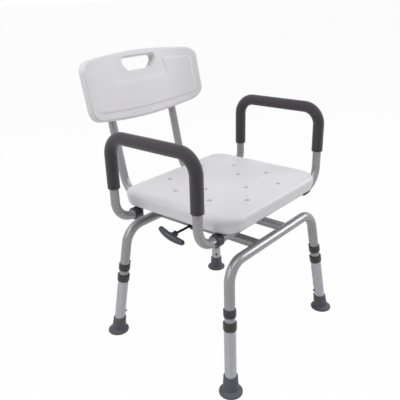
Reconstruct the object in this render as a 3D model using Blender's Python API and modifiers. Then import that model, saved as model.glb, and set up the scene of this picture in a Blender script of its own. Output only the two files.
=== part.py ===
"""A swivelling shower chair: lift-off back and padded arms, T-handle swivel lock, telescopic legs.

Metres, +Z up. The chair faces -Y and its left side is +X. It is modelled with the swivel's
axis at x = 0, y = 0, and the last step moves the whole chair so that the middle of its
footprint is at the origin. The feet stand on z = 0.
"""

import math

import bmesh
import bpy
from mathutils import Matrix, Vector

# Clearances and facets
GAP = 0.0003
SLIDE_GAP = 0.0004
RUNNING_GAP = 0.0015
TUBE_SIDES = 12
TURNED_SIDES = 16
PIVOT_SIDES = 24
HOLE_SIDES = 8
BEND_STEPS = 5
MERGE = 0.00001
REACH = 0.05

# Four splayed legs, from the feet on the floor up to the corners of the frame
FOOT_X = 0.2245
FOOT_Y = 0.198
FRAME_Z = 0.3135
FRAME_CORNER_X = 0.1856
FRAME_CORNER_Y = 0.1653
LEAN_X = (FOOT_X - FRAME_CORNER_X) / FRAME_Z
LEAN_Y = (FOOT_Y - FRAME_CORNER_Y) / FRAME_Z

# Frame tube, bent to a U at the front and another at the rear
FRAME_RADIUS = 0.0127
FRAME_WALL = 0.0014
FRAME_BEND = 0.052
JOINT_Z = 0.200

# Leg tube, which plugs into the frame, and its sleeve
SPIGOT_LENGTH = 0.040
SPIGOT_WALL = 0.0012
LEG_WALL = 0.0014
LEG_BOTTOM_Z = 0.050
SLEEVE_Z = 0.2003
SLEEVE_LENGTH = 0.0198
SLEEVE_RADIUS = 0.0153
SLEEVE_TOP_EDGE = 0.0008
SLEEVE_FOOT_EDGES = ((0.0, 0.006), (0.0006, 0.002), (0.0013, 0.0))

# Height tube, which slides on the leg tube, with its bush and its row of holes
HEIGHT_RADIUS = 0.0143
HEIGHT_TOP_Z = 0.170
HEIGHT_BOTTOM_Z = 0.0128
HEIGHT_HOLES = 4
HEIGHT_PITCH = 0.0254
BUSH_Z = 0.1683
BUSH_LENGTH = 0.0209
BUSH_RADIUS = 0.01625

# Rubber foot
FOOT_RADIUS = 0.0285
FOOT_RIM = 0.0045
FOOT_NECK_RADIUS = 0.0169
FOOT_WAIST_RADIUS = 0.0190
FOOT_WAIST_Z = 0.0108
FOOT_FLARE = ((0.0075, 0.0062),)
FOOT_EDGE = 0.0015
FOOT_TOP_Z = 0.044
FOOT_FLOOR = 0.010

# Snap buttons: a pin on a folded leaf spring inside the tube
PIN_RADIUS = 0.0034
PIN_PROUD = 0.0030
PIN_CHAMFER = 0.0010
BUTTON_TRAVEL = 0.0046
LEAF_WIDTH = 0.0050
LEAF_THICKNESS = 0.0006
LEAF_REACH = 0.012
LEAF_TAIL = 0.006
FRAME_BUTTON_Z = 0.216
HEIGHT_BUTTON_Z = 0.063
ARM_PIN_PROUD = 0.0025
ARM_BUTTON_TRAVEL = 0.0042
BACK_BUTTON_INSET = 0.020

# Rails between the two U frames
RAIL_X = 0.060
RAIL_WIDTH = 0.0245
RAIL_HEIGHT = 0.0145
RAIL_WALL = 0.0018
RAIL_GROOVE_DEPTH = 0.0009
RAIL_GROOVE_HEIGHT = 0.0042
RAIL_END_IN = 0.004

# Swivel: index plate and drum, glide ring, pan and retaining ring
PLATE_RADIUS = 0.083
PLATE_THICKNESS = 0.003
DRUM_RADIUS = 0.034
DRUM_WALL = 0.006
DRUM_TOP_Z = 0.3525
LOCK_HOLES = 12
GLIDE_THICKNESS = 0.003
PAN_THICKNESS = 0.003
PAN_FLOOR_RADIUS = 0.088
PAN_RIM_RADIUS = 0.105
PAN_RADIUS = 0.115
RETAINER_WIDTH = 0.012
RETAINER_THICKNESS = 0.003

# Seat
SEAT_HALF_WIDTH = 0.2001
SEAT_FRONT_Y = -0.1807
SEAT_REAR_Y = 0.1678
SEAT_BOTTOM_Z = 0.3875
SEAT_TOP_Z = 0.4268
SEAT_FRONT_CORNER = 0.054
SEAT_REAR_CORNER = 0.042
SEAT_EDGE = 0.0125
SEAT_UNDER_EDGE = 0.008
SEAT_DRAFT = 0.0032
SEAT_RIM = 0.007
SEAT_DISH_STEP = 0.0075
SEAT_DISH_DEPTH = 0.0009
SEAT_BOSS_RADIUS = 0.011
SEAT_BOSS_X = 0.090
DRAIN_RADIUS = 0.0032
DRAIN_OUTER = (0.122, 0.054)
DRAIN_CORNER = (0.068, 0.1245)
DRAIN_SIDE_X = 0.0686
DRAIN_END_Y = 0.074

# Tubes under the seat
SIDE_TUBE_X = 0.116
SIDE_TUBE_Z = 0.3709
SIDE_TUBE_RADIUS = 0.0127
SIDE_TUBE_REAR_Y = 0.135
ARM_RADIUS = 0.0111
ARM_WALL = 0.0014
ARM_FRONT_INSET = 0.0432
ARM_REAR_INSET = 0.0468
ARM_FRONT_Y = SEAT_FRONT_Y + ARM_FRONT_INSET
ARM_REAR_Y = SEAT_REAR_Y - ARM_REAR_INSET
ARM_MOUNT_Z = 0.3715
ARM_SLIP = 0.0005
STUB_BORE = 0.0073
SEAT_OVERHANG = 0.0176
CROSS_HALF = SEAT_HALF_WIDTH - SEAT_OVERHANG
COLLAR_LENGTH = 0.022
COLLAR_OUTER_X = CROSS_HALF + COLLAR_LENGTH
STUB_REACH = 0.007
STUB_END_X = COLLAR_OUTER_X + STUB_REACH
REAR_BAR_WIDTH = 0.025
REAR_BAR_EAR = 0.004
REAR_BAR_DROP = 0.0125

# Arms: collar, tube and foam grip
COLLAR_RADIUS = 0.0154
ARM_OFFSET = 0.052
ARM_X = COLLAR_OUTER_X + ARM_OFFSET
ARM_TOP_Z = 0.5843
ARM_LOWER_BEND = 0.050
ARM_UPPER_BEND = 0.045
ARM_BUTTON_INSET = 0.005
ARM_BUTTON_X = COLLAR_OUTER_X + ARM_BUTTON_INSET
COLLAR_EDGE = 0.002
GRIP_RADIUS = 0.015
GRIP_FRONT_ENDS_Z = {"left": 0.466, "right": 0.4585}
GRIP_REAR_ENDS_Z = {"left": 0.449, "right": 0.457}

# Back tubes: a line leaning back through two points, and the bend under it
BACK_TUBE_FRONT_Y = 0.035
BACK_BEND = 0.062
BACK_LINE_Y = 0.2581
BACK_LINE_Z = 0.4964
BACK_HIGH_Y = 0.3083
BACK_HIGH_Z = 0.7464
BACK_LEAN = (BACK_HIGH_Y - BACK_LINE_Y) / (BACK_HIGH_Z - BACK_LINE_Z)
BACK_SOCKET_TOP = 0.200
BACK_SOCKET_RADIUS = 0.0145
BACK_SOCKET_ROOF = 0.004

# Backrest: nearly flat between the tubes, and its sides sweep forward like wings
BACK_HALF_WIDTH = 0.2105
BACK_TOP = 0.2466
BACK_BOTTOM = 0.0687
BACK_TOP_CROWN = 0.0168
BACK_BOTTOM_CROWN = 0.0179
BACK_TOP_CORNER = 0.0412
BACK_BOTTOM_CORNER = 0.0359
BACK_THICKNESS = 0.028
BACK_FORWARD = 0.0113
BACK_WING = 0.0305
BACK_WING_POWER = 4
BACK_EDGE = 0.008
BACK_STATIONS = (0.0, 0.24, 0.47, 0.66, 0.80, 0.91)
HAND_HOLE_HALF = 0.0590
HAND_HOLE_FOOT_HALF = 0.0420
HAND_HOLE_TOP = 0.2285
HAND_HOLE_SHOULDER = 0.2150
HAND_HOLE_BOTTOM = 0.1947
HAND_HOLE_TOP_CORNER = 0.009
HAND_HOLE_FOOT_CORNER = 0.006
HAND_HOLE_STEPS = 3

# Swivel lock: rod, T-handle, guide and spring
LOCK_Z = 0.3430
ROD_RADIUS = 0.0030
ROD_COLLAR_RADIUS = 0.0055
ROD_COLLAR_X = 0.0575
ROD_COLLAR_LENGTH = 0.003
HANDLE_X = 0.200
HANDLE_HALF_SPAN = 0.0349
HANDLE_SAG = 0.0075
HANDLE_TILT = -15.0
HANDLE_MID_RADIUS = 0.0088
HANDLE_END_RADIUS = 0.0060
HANDLE_BOSS_RADIUS = 0.0073
HANDLE_FACE_X = 0.177
HANDLE_BORE_DEPTH = 0.011
HANDLE_SHARES = (-1.0, -0.97, -0.8, -0.5, 0.0, 0.5, 0.8, 0.97, 1.0)
HANDLE_TIP_SCALE = 0.5
HANDLE_BOSS_DOME = 0.001
HANDLE_BOSS_EDGES = ((0.0006, 0.0015), (0.0018, 0.0))
GUIDE_FLANGE_RADIUS = 0.012
GUIDE_FLANGE_X = 0.118
GUIDE_FLANGE_LENGTH = 0.004
GUIDE_BUSH_RADIUS = 0.007
GUIDE_INNER_X = 0.085
SPRING_WIRE = 0.0006
SPRING_RADIUS = 0.0044
SPRING_TURNS = 4
SPRING_PITCH = 0.0017

# Finishes: colour, roughness, metallic
FINISHES = {
    "aluminium": ((0.62, 0.63, 0.65), 0.34, 1.0),
    "white_plastic": ((0.78, 0.77, 0.79), 0.42, 0.0),
    "foam": ((0.052, 0.043, 0.048), 0.85, 0.0),
    "collar_plastic": ((0.040, 0.037, 0.036), 0.45, 0.0),
    "foot_rubber": ((0.105, 0.105, 0.125), 0.62, 0.0),
    "handle_plastic": ((0.062, 0.060, 0.090), 0.42, 0.0),
    "steel": ((0.45, 0.45, 0.46), 0.30, 1.0),
    "black_steel": ((0.020, 0.020, 0.020), 0.38, 0.6),
    "glide_plastic": ((0.70, 0.70, 0.66), 0.50, 0.0),
    "pin_metal": ((0.22, 0.22, 0.20), 0.36, 0.8),
}


def clear_scene():
    """Remove every object of the open scene."""
    for thing in list(bpy.data.objects):
        bpy.data.objects.remove(thing, do_unlink=True)


def add_collection(name, hidden=False):
    """A new collection in the scene."""
    collection = bpy.data.collections.new(name)
    collection.hide_render = hidden
    bpy.context.scene.collection.children.link(collection)
    return collection


def add_material(finish):
    """The Principled material of a finish, made the first time it is asked for."""
    material = bpy.data.materials.get(finish)
    if material is None:
        colour, roughness, metallic = FINISHES[finish]
        material = bpy.data.materials.new(finish)
        material.use_nodes = True
        shader = material.node_tree.nodes["Principled BSDF"]
        shader.inputs["Base Color"].default_value = (*colour, 1.0)
        shader.inputs["Roughness"].default_value = roughness
        shader.inputs["Metallic"].default_value = metallic
    return material


def place(obj, parent, matrix):
    """Hang an object on its parent, with its place given in the parent's frame."""
    obj.parent = parent
    obj.matrix_local = matrix if matrix is not None else Matrix()
    bpy.context.view_layer.update()


def add_frame(name, parent=None, matrix=None):
    """An empty that carries pieces."""
    empty = bpy.data.objects.new(name, None)
    empty.empty_display_size = 0.03
    PARTS.objects.link(empty)
    place(empty, parent, matrix)
    return empty


def add_part(name, data, finish, parent, matrix=None):
    """A piece of the chair."""
    obj = bpy.data.objects.new(name, data)
    data.materials.append(add_material(finish))
    PARTS.objects.link(obj)
    place(obj, parent, matrix)
    return obj


def add_tool(name, data, parent, matrix=None):
    """A hidden shape that cuts a piece or is fused to it."""
    obj = bpy.data.objects.new(name, data)
    obj.hide_render = True
    obj.display_type = "WIRE"
    TOOLS.objects.link(obj)
    place(obj, parent, matrix)
    return obj


def combine(piece, tool, operation):
    """Cut the tool from the piece, or fuse it on."""
    modifier = piece.modifiers.new(tool.name, "BOOLEAN")
    modifier.operation = operation
    modifier.solver = "EXACT"
    modifier.object = tool


def cut(piece, *tools):
    """Cut each tool's shape out of the piece."""
    for tool in tools:
        combine(piece, tool, "DIFFERENCE")


def fuse(piece, *tools):
    """Fuse each tool's shape to the piece."""
    for tool in tools:
        combine(piece, tool, "UNION")


def realise(obj):
    """Turn a curve, or a mesh with modifiers, into one plain mesh with its caps welded."""
    bpy.context.view_layer.update()
    graph = bpy.context.evaluated_depsgraph_get()
    mesh = bpy.data.meshes.new_from_object(obj.evaluated_get(graph))
    mesh.name = obj.name
    bm = bmesh.new()
    bm.from_mesh(mesh)
    bmesh.ops.remove_doubles(bm, verts=bm.verts, dist=MERGE)
    bm.to_mesh(mesh)
    bm.free()
    plain = bpy.data.objects.new("plain", mesh)
    for collection in obj.users_collection:
        collection.objects.link(plain)
    plain.hide_render = obj.hide_render
    plain.display_type = obj.display_type
    plain.parent = obj.parent
    plain.matrix_local = obj.matrix_local.copy()
    name = obj.name
    bpy.data.objects.remove(obj, do_unlink=True)
    plain.name = name
    return plain


def axes_matrix(origin, z_axis, x_axis):
    """The frame at origin with its Z along z_axis and its X as near as it can be to x_axis."""
    z_axis = Vector(z_axis).normalized()
    x_axis = Vector(x_axis)
    x_axis = (x_axis - x_axis.dot(z_axis) * z_axis).normalized()
    y_axis = z_axis.cross(x_axis)
    matrix = Matrix((x_axis, y_axis, z_axis)).transposed().to_4x4()
    matrix.translation = Vector(origin)
    return matrix


def bore_round(radius, sides=TUBE_SIDES):
    """The radius of a faceted bore whose flats clear a round of this radius."""
    return (radius + GAP) / math.cos(math.pi / sides)


def round_in(bore, sides=TUBE_SIDES):
    """The radius of a round that clears the flats of a faceted bore."""
    return bore * math.cos(math.pi / sides) - GAP


def cylinder(radius, low, high, sides=TUBE_SIDES):
    """A cylinder on the Z axis, from low to high."""
    mesh = bpy.data.meshes.new("cylinder")
    bm = bmesh.new()
    bmesh.ops.create_cone(bm, cap_ends=True, segments=sides, radius1=radius, radius2=radius,
                          depth=high - low, matrix=Matrix.Translation((0, 0, (low + high) / 2)))
    bm.to_mesh(mesh)
    bm.free()
    return mesh


def box(low, high):
    """A box between two corners."""
    low = Vector(low)
    high = Vector(high)
    mesh = bpy.data.meshes.new("box")
    bm = bmesh.new()
    matrix = Matrix.Translation((low + high) / 2) @ Matrix.Diagonal((*(high - low), 1.0))
    bmesh.ops.create_cube(bm, size=1.0, matrix=matrix)
    bm.to_mesh(mesh)
    bm.free()
    return mesh


def profile_mesh(profile, closed):
    """The radius and height points of a turned shape, joined by edges in the XZ plane."""
    mesh = bpy.data.meshes.new("profile")
    count = len(profile)
    edges = [(i, (i + 1) % count) for i in range(count if closed else count - 1)]
    mesh.from_pydata([(radius, 0.0, height) for radius, height in profile], edges, [])
    return mesh


def turn(obj, sides):
    """Spin an object's profile round its Z axis."""
    modifier = obj.modifiers.new("turned", "SCREW")
    modifier.axis = "Z"
    modifier.steps = sides
    modifier.render_steps = sides
    modifier.use_merge_vertices = True
    modifier.merge_threshold = MERGE


def turned(name, profile, finish, parent, matrix=None, sides=TURNED_SIDES, closed=True):
    """A turned piece: the profile runs down its outer side, and up its bore where it has one."""
    obj = add_part(name, profile_mesh(profile, closed), finish, parent, matrix)
    turn(obj, sides)
    return obj


def arc(before, corner, after, radius, steps):
    """Points of the arc that rounds a corner."""
    to_before = (before - corner).normalized()
    to_after = (after - corner).normalized()
    half = to_before.angle(to_after) / 2
    centre = corner + (to_before + to_after).normalized() * radius / math.sin(half)
    start = corner + to_before * radius / math.tan(half) - centre
    finish = corner + to_after * radius / math.tan(half) - centre
    axis = start.cross(finish).normalized()
    sweep = math.pi - 2 * half
    return [centre + Matrix.Rotation(sweep * i / steps, 3, axis) @ start for i in range(steps + 1)]


def rounded_path(corners, radii, steps=BEND_STEPS):
    """An open path through the corners, rounded at each inner one."""
    corners = [Vector(corner) for corner in corners]
    path = [corners[0]]
    for i, radius in enumerate(radii):
        path += arc(corners[i], corners[i + 1], corners[i + 2], radius, steps)
    return path + [corners[-1]]


def rounded_loop(corners, radii, steps=BEND_STEPS):
    """A closed flat outline through the corners, each one rounded."""
    corners = [Vector((x, y, 0.0)) for x, y in corners]
    count = len(corners)
    loop = []
    for i, radius in enumerate(radii):
        loop += arc(corners[i - 1], corners[i], corners[(i + 1) % count], radius, steps)
    return [(point.x, point.y) for point in loop]


def path_curve(path, radius, sides=TUBE_SIDES, scales=None, capped=False):
    """A round tube along a path, whose radius may be scaled from point to point."""
    curve = bpy.data.curves.new("path", "CURVE")
    curve.dimensions = "3D"
    curve.bevel_depth = radius
    curve.bevel_resolution = (sides - 4) // 2
    curve.use_fill_caps = capped
    spline = curve.splines.new("POLY")
    spline.points.add(len(path) - 1)
    for i, point in enumerate(path):
        spline.points[i].co = (*point, 1.0)
        spline.points[i].radius = scales[i] if scales else 1.0
    return curve


def tube(name, path, radius, wall, finish, parent):
    """A bent tube with its wall inside the given radius."""
    obj = realise(add_part(name, path_curve(path, radius), finish, parent))
    modifier = obj.modifiers.new("wall", "SOLIDIFY")
    modifier.thickness = wall
    modifier.offset = -1.0
    return obj


def outline_curve(outlines, thickness):
    """A flat plate with these outlines, the later ones being holes in the first."""
    curve = bpy.data.curves.new("outline", "CURVE")
    curve.dimensions = "2D"
    curve.fill_mode = "BOTH"
    curve.extrude = thickness / 2
    for outline in outlines:
        spline = curve.splines.new("POLY")
        spline.points.add(len(outline) - 1)
        spline.use_cyclic_u = True
        for i, (x, y) in enumerate(outline):
            spline.points[i].co = (x, y, 0.0, 1.0)
    return curve


def edge_steps(radius, count=3):
    """Inset and rise of each step round a quarter-round edge."""
    angles = [math.pi / 2 * i / count for i in range(count + 1)]
    return [(radius * (math.cos(low) - math.cos(high)), radius * (math.sin(high) - math.sin(low)))
            for low, high in zip(angles, angles[1:])]


def board(outline, upper_steps, lower_steps):
    """A moulded board grown from its widest outline, by insetting its upper and lower faces."""
    bm = bmesh.new()
    upper = bm.faces.new([bm.verts.new((x, y, 0.0)) for x, y in outline])
    bm.normal_update()
    if upper.normal.z < 0:
        upper.normal_flip()
    for inset, rise in upper_steps:
        bmesh.ops.inset_region(bm, faces=[upper], thickness=inset, depth=rise,
                               use_boundary=True, use_even_offset=True)
    rim = [edge for edge in bm.edges if edge.is_boundary]
    lower = bmesh.ops.contextual_create(bm, geom=rim)["faces"][0]
    bmesh.ops.recalc_face_normals(bm, faces=bm.faces)
    for inset, rise in lower_steps:
        bmesh.ops.inset_region(bm, faces=[lower], thickness=inset, depth=rise,
                               use_boundary=True, use_even_offset=True)
    return bm


def mesh_of(bm, name):
    """The mesh of a finished bmesh."""
    mesh = bpy.data.meshes.new(name)
    bm.to_mesh(mesh)
    bm.free()
    return mesh


def pin_hole(name, parent, matrix, radius=PIN_RADIUS, reach=REACH):
    """A cutter for a pin hole, from the tube's axis outward along local X."""
    outward = matrix @ Matrix.Rotation(math.pi / 2, 4, "Y")
    hole = cylinder(bore_round(radius, HOLE_SIDES), 0.0, reach, HOLE_SIDES)
    return add_tool(name, hole, parent, outward)


def pin_slot(name, parent, matrix, low, high):
    """A cutter for a slot that lets a pin run out of a tube's end, between two heights."""
    half = PIN_RADIUS + SLIDE_GAP
    return add_tool(name, box((0.0, -half, low), (REACH, half, high)), parent, matrix)


def snap_button(name, parent, matrix, shell, bore, proud, travel, reach):
    """A pin along local X on a folded leaf. shell is the tube outside it, bore the space inside.

    reach is how far the leaf runs from the pin along the tube, towards +Z or -Z, before it
    folds back. The tail of the leaf stops short of the far wall by the button's travel.
    """
    leaf_x = math.sqrt(round_in(bore) ** 2 - (LEAF_WIDTH / 2) ** 2)
    tail_x = travel - leaf_x + GAP
    fold = math.copysign(abs(reach) - LEAF_TAIL / 2, reach)
    start = math.copysign(LEAF_TAIL, -reach)
    route = [(leaf_x, start), (leaf_x, fold), (0.0, reach), (tail_x, fold), (tail_x, 0.0)]
    bm = bmesh.new()
    corners = [bm.verts.new((x, -LEAF_WIDTH / 2, z)) for x, z in route]
    edges = [bm.edges.new(pair) for pair in zip(corners, corners[1:])]
    sheet = bmesh.ops.extrude_edge_only(bm, edges=edges)["geom"]
    moved = [item for item in sheet if isinstance(item, bmesh.types.BMVert)]
    bmesh.ops.translate(bm, verts=moved, vec=(0.0, LEAF_WIDTH, 0.0))
    bmesh.ops.recalc_face_normals(bm, faces=bm.faces)
    inside = any(face.normal.x < 0 and face.calc_center_median().x > leaf_x / 2 for face in bm.faces)
    if inside:
        bmesh.ops.reverse_faces(bm, faces=bm.faces)
    button = add_part(name, mesh_of(bm, name), "pin_metal", parent, matrix)
    leaf = button.modifiers.new("leaf", "SOLIDIFY")
    leaf.thickness = LEAF_THICKNESS
    leaf.offset = -1.0
    tip = shell + proud
    pin = profile_mesh([(0.0, tip), (PIN_RADIUS - PIN_CHAMFER, tip), (PIN_RADIUS, tip - PIN_CHAMFER),
                        (PIN_RADIUS, leaf_x - LEAF_THICKNESS / 2), (0.0, leaf_x - LEAF_THICKNESS / 2)],
                       closed=False)
    outward = matrix @ Matrix.Rotation(math.pi / 2, 4, "Y")
    stem = add_tool(name + "_pin", pin, parent, outward)
    turn(stem, HOLE_SIDES)
    fuse(button, stem)
    return button


def along_leg(height):
    """Distance along a leg's axis from the floor to a height."""
    return height * math.sqrt(1 + LEAN_X ** 2 + LEAN_Y ** 2)


def leg_point(side, end, height):
    """The point of a leg's axis at a height. side is -1 right, 1 left; end is -1 front, 1 rear."""
    return Vector((side * (FOOT_X - LEAN_X * height), end * (FOOT_Y - LEAN_Y * height), height))


def leg_matrix(side, end):
    """The frame of a leg: Z up its axis from the floor, X towards the chair's middle."""
    up = leg_point(side, end, 1.0) - leg_point(side, end, 0.0)
    return axes_matrix(leg_point(side, end, 0.0), up, (up.x, up.y, 0.0))


def build_u_frame(name, end, parent):
    """One bent frame tube: two leg sockets and the bar between them."""
    joint = JOINT_Z + GAP
    corners = [leg_point(-1, end, joint), leg_point(-1, end, FRAME_Z),
               leg_point(1, end, FRAME_Z), leg_point(1, end, joint)]
    path = rounded_path(corners, [FRAME_BEND, FRAME_BEND])
    frame = tube(name, path, FRAME_RADIUS, FRAME_WALL, "aluminium", parent)
    for side in (-1, 1):
        height = Matrix.Translation((0, 0, along_leg(FRAME_BUTTON_Z)))
        cut(frame, pin_hole(name + "_hole", parent, leg_matrix(side, end) @ height))
    return frame


def build_rail(name, side, parent):
    """A box rail with a groove along each side, coped to the two frame tubes."""
    wide = RAIL_WIDTH / 2
    high = RAIL_HEIGHT / 2
    groove = RAIL_GROOVE_HEIGHT / 2
    floor = wide - RAIL_GROOVE_DEPTH
    right = [(wide, -high), (wide, -groove), (floor, -groove), (floor, groove), (wide, groove),
             (wide, high)]
    outer = right + [(-x, y) for x, y in reversed(right)]
    hollow = [(x * (wide - RAIL_WALL), y * (high - RAIL_WALL)) for x, y in
              ((-1, -1), (-1, 1), (1, 1), (1, -1))]
    bar_y = leg_point(1, 1, FRAME_Z).y
    length = 2 * (bar_y - RAIL_END_IN)
    matrix = axes_matrix((side * RAIL_X, 0, FRAME_Z), (0, -1, 0), (1, 0, 0))
    rail = realise(add_part(name, outline_curve([outer, hollow], length), "aluminium", parent, matrix))
    for end in (-1, 1):
        cope = cylinder(bore_round(FRAME_RADIUS, PIVOT_SIDES), -REACH, REACH, PIVOT_SIDES)
        across = axes_matrix((side * RAIL_X, end * bar_y, FRAME_Z), (1, 0, 0), (0, 0, 1))
        cut(rail, add_tool(name + "_cope", cope, parent, across))
    return rail


def ring_profile(inner, outer, low, high, chamfer=0.0):
    """The section of a plain ring, down its outer side and up its bore."""
    return [(outer - chamfer, high), (outer, high - chamfer), (outer, low + chamfer),
            (outer - chamfer, low), (inner, low), (inner, high)] if chamfer else [
                (outer, high), (outer, low), (inner, low), (inner, high)]


def swivel_levels():
    """Heights of the swivel's layers, each a gap above the one below."""
    plate = FRAME_Z + RAIL_HEIGHT / 2 + GAP
    glide = plate + PLATE_THICKNESS + GAP
    pan = glide + GLIDE_THICKNESS + GAP
    retainer = pan + PAN_THICKNESS + GAP
    return plate, glide, pan, retainer


def build_swivel_base(parent):
    """The index plate with its drum, the glide ring and the ring that holds the pan down."""
    plate, glide, _, retainer = swivel_levels()
    bore = DRUM_RADIUS - DRUM_WALL
    section = [(DRUM_RADIUS, DRUM_TOP_Z), (DRUM_RADIUS, plate + PLATE_THICKNESS),
               (PLATE_RADIUS, plate + PLATE_THICKNESS), (PLATE_RADIUS, plate),
               (bore, plate), (bore, DRUM_TOP_Z)]
    index = turned("index_plate", section, "steel", parent, sides=PIVOT_SIDES)
    for i in range(LOCK_HOLES):
        angle = Matrix.Rotation(2 * math.pi * i / LOCK_HOLES, 4, "Z")
        level = Matrix.Translation((0, 0, LOCK_Z))
        cut(index, pin_hole("lock_hole", parent, angle @ level, ROD_RADIUS + GAP))
    ring = ring_profile(DRUM_RADIUS + GAP, PLATE_RADIUS, glide, glide + GLIDE_THICKNESS)
    turned("glide_ring", ring, "glide_plastic", parent, sides=PIVOT_SIDES)
    ring = ring_profile(DRUM_RADIUS + GAP, DRUM_RADIUS + RETAINER_WIDTH, retainer,
                        retainer + RETAINER_THICKNESS)
    turned("retaining_ring", ring, "steel", parent, sides=PIVOT_SIDES)


def build_leg(place_name, side, end, base):
    """One leg: the plug-in tube, its sleeve and button, and the height tube with its foot."""
    frame = leg_matrix(side, end)
    leg = add_frame(place_name + "_leg", base, frame)
    joint = along_leg(JOINT_Z)
    spigot = round_in(FRAME_RADIUS - FRAME_WALL)
    spigot_bore = spigot - SPIGOT_WALL
    leg_bore = FRAME_RADIUS - LEG_WALL
    top = joint + SPIGOT_LENGTH
    bottom = along_leg(LEG_BOTTOM_Z)
    section = [(spigot, top), (spigot, joint), (FRAME_RADIUS, joint), (FRAME_RADIUS, bottom),
               (leg_bore, bottom), (leg_bore, joint - LEG_WALL), (spigot_bore, joint), (spigot_bore, top)]
    leg_tube = turned(place_name + "_leg_tube", section, "aluminium", leg, sides=TUBE_SIDES)
    frame_pin = along_leg(FRAME_BUTTON_Z)
    height_pin = along_leg(HEIGHT_BUTTON_Z)
    pin_room = PIN_RADIUS + SLIDE_GAP
    cut(leg_tube,
        pin_slot("frame_pin_slot", leg, Matrix(), frame_pin - pin_room, top + REACH),
        pin_slot("height_pin_slot", leg, Matrix(), bottom - REACH, height_pin + pin_room))

    sleeve_low = along_leg(SLEEVE_Z) - SLEEVE_LENGTH / 2
    sleeve = sleeve_section(SLEEVE_RADIUS, sleeve_low, SLEEVE_LENGTH,
                            bore_round(FRAME_RADIUS))
    turned(place_name + "_joint_sleeve", sleeve, "collar_plastic", leg, sides=TURNED_SIDES)
    at_frame_pin = Matrix.Translation((0, 0, frame_pin))
    snap_button(place_name + "_frame_button", leg, at_frame_pin, FRAME_RADIUS, spigot_bore,
                PIN_PROUD, BUTTON_TRAVEL, LEAF_REACH)

    height_bore = FRAME_RADIUS + SLIDE_GAP
    tube_top = along_leg(HEIGHT_TOP_Z)
    section = ring_profile(height_bore, HEIGHT_RADIUS, along_leg(HEIGHT_BOTTOM_Z), tube_top)
    height_tube = turned(place_name + "_height_tube", section, "aluminium", leg, sides=TUBE_SIDES)
    for i in range(HEIGHT_HOLES):
        at_hole = Matrix.Translation((0, 0, height_pin + i * HEIGHT_PITCH))
        cut(height_tube, pin_hole("height_hole", leg, at_hole))
    at_height_pin = Matrix.Translation((0, 0, height_pin))
    snap_button(place_name + "_height_button", leg, at_height_pin, HEIGHT_RADIUS, leg_bore,
                PIN_PROUD, BUTTON_TRAVEL, LEAF_REACH)

    bush_low = along_leg(BUSH_Z) - BUSH_LENGTH / 2
    bush = sleeve_section(BUSH_RADIUS, bush_low, BUSH_LENGTH, bore_round(HEIGHT_RADIUS),
                          lip=(bore_round(FRAME_RADIUS), tube_top + GAP))
    turned(place_name + "_height_bush", bush, "collar_plastic", leg, sides=TURNED_SIDES)
    build_foot(place_name + "_foot", side, end, base)


def sleeve_section(radius, low, length, bore, lip=None):
    """The section of a collar, rounded in at its foot. lip is a narrower bore above a height."""
    high = low + length
    section = [(radius - SLEEVE_TOP_EDGE, high), (radius, high - SLEEVE_TOP_EDGE)]
    section += [(radius - inset, low + rise) for inset, rise in SLEEVE_FOOT_EDGES]
    section.append((bore, low))
    if lip:
        narrow, level = lip
        return section + [(bore, level), (narrow, level), (narrow, high)]
    return section + [(bore, high)]


def build_foot(name, side, end, base):
    """A rubber foot, flat on the floor, whose neck leans with the leg."""
    lean = along_leg(1.0)
    bore = bore_round(HEIGHT_RADIUS, TURNED_SIDES) * lean
    neck = bore + FOOT_NECK_RADIUS - HEIGHT_RADIUS
    section = [(neck, FOOT_TOP_Z), (FOOT_WAIST_RADIUS, FOOT_WAIST_Z)]
    section += [(FOOT_WAIST_RADIUS + out, height) for out, height in FOOT_FLARE]
    section += [(FOOT_RADIUS, FOOT_RIM), (FOOT_RADIUS, FOOT_EDGE), (FOOT_RADIUS - FOOT_EDGE, 0.0),
                (0.0, 0.0)]
    hollow = [(0.0, FOOT_FLOOR), (bore, FOOT_FLOOR), (bore, FOOT_TOP_Z)]
    profile = hollow + section
    foot = turned(name, profile, "foot_rubber", base, Matrix.Translation(leg_point(side, end, 0.0)),
                  closed=False)
    foot = realise(foot)
    shear = Matrix.Identity(4)
    shear[0][2] = -side * LEAN_X
    shear[1][2] = -end * LEAN_Y
    foot.data.transform(shear)


def arm_stub_radius():
    """The radius of the stubs that the arms slide on."""
    return round_in(ARM_RADIUS - ARM_WALL) - ARM_SLIP


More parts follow.
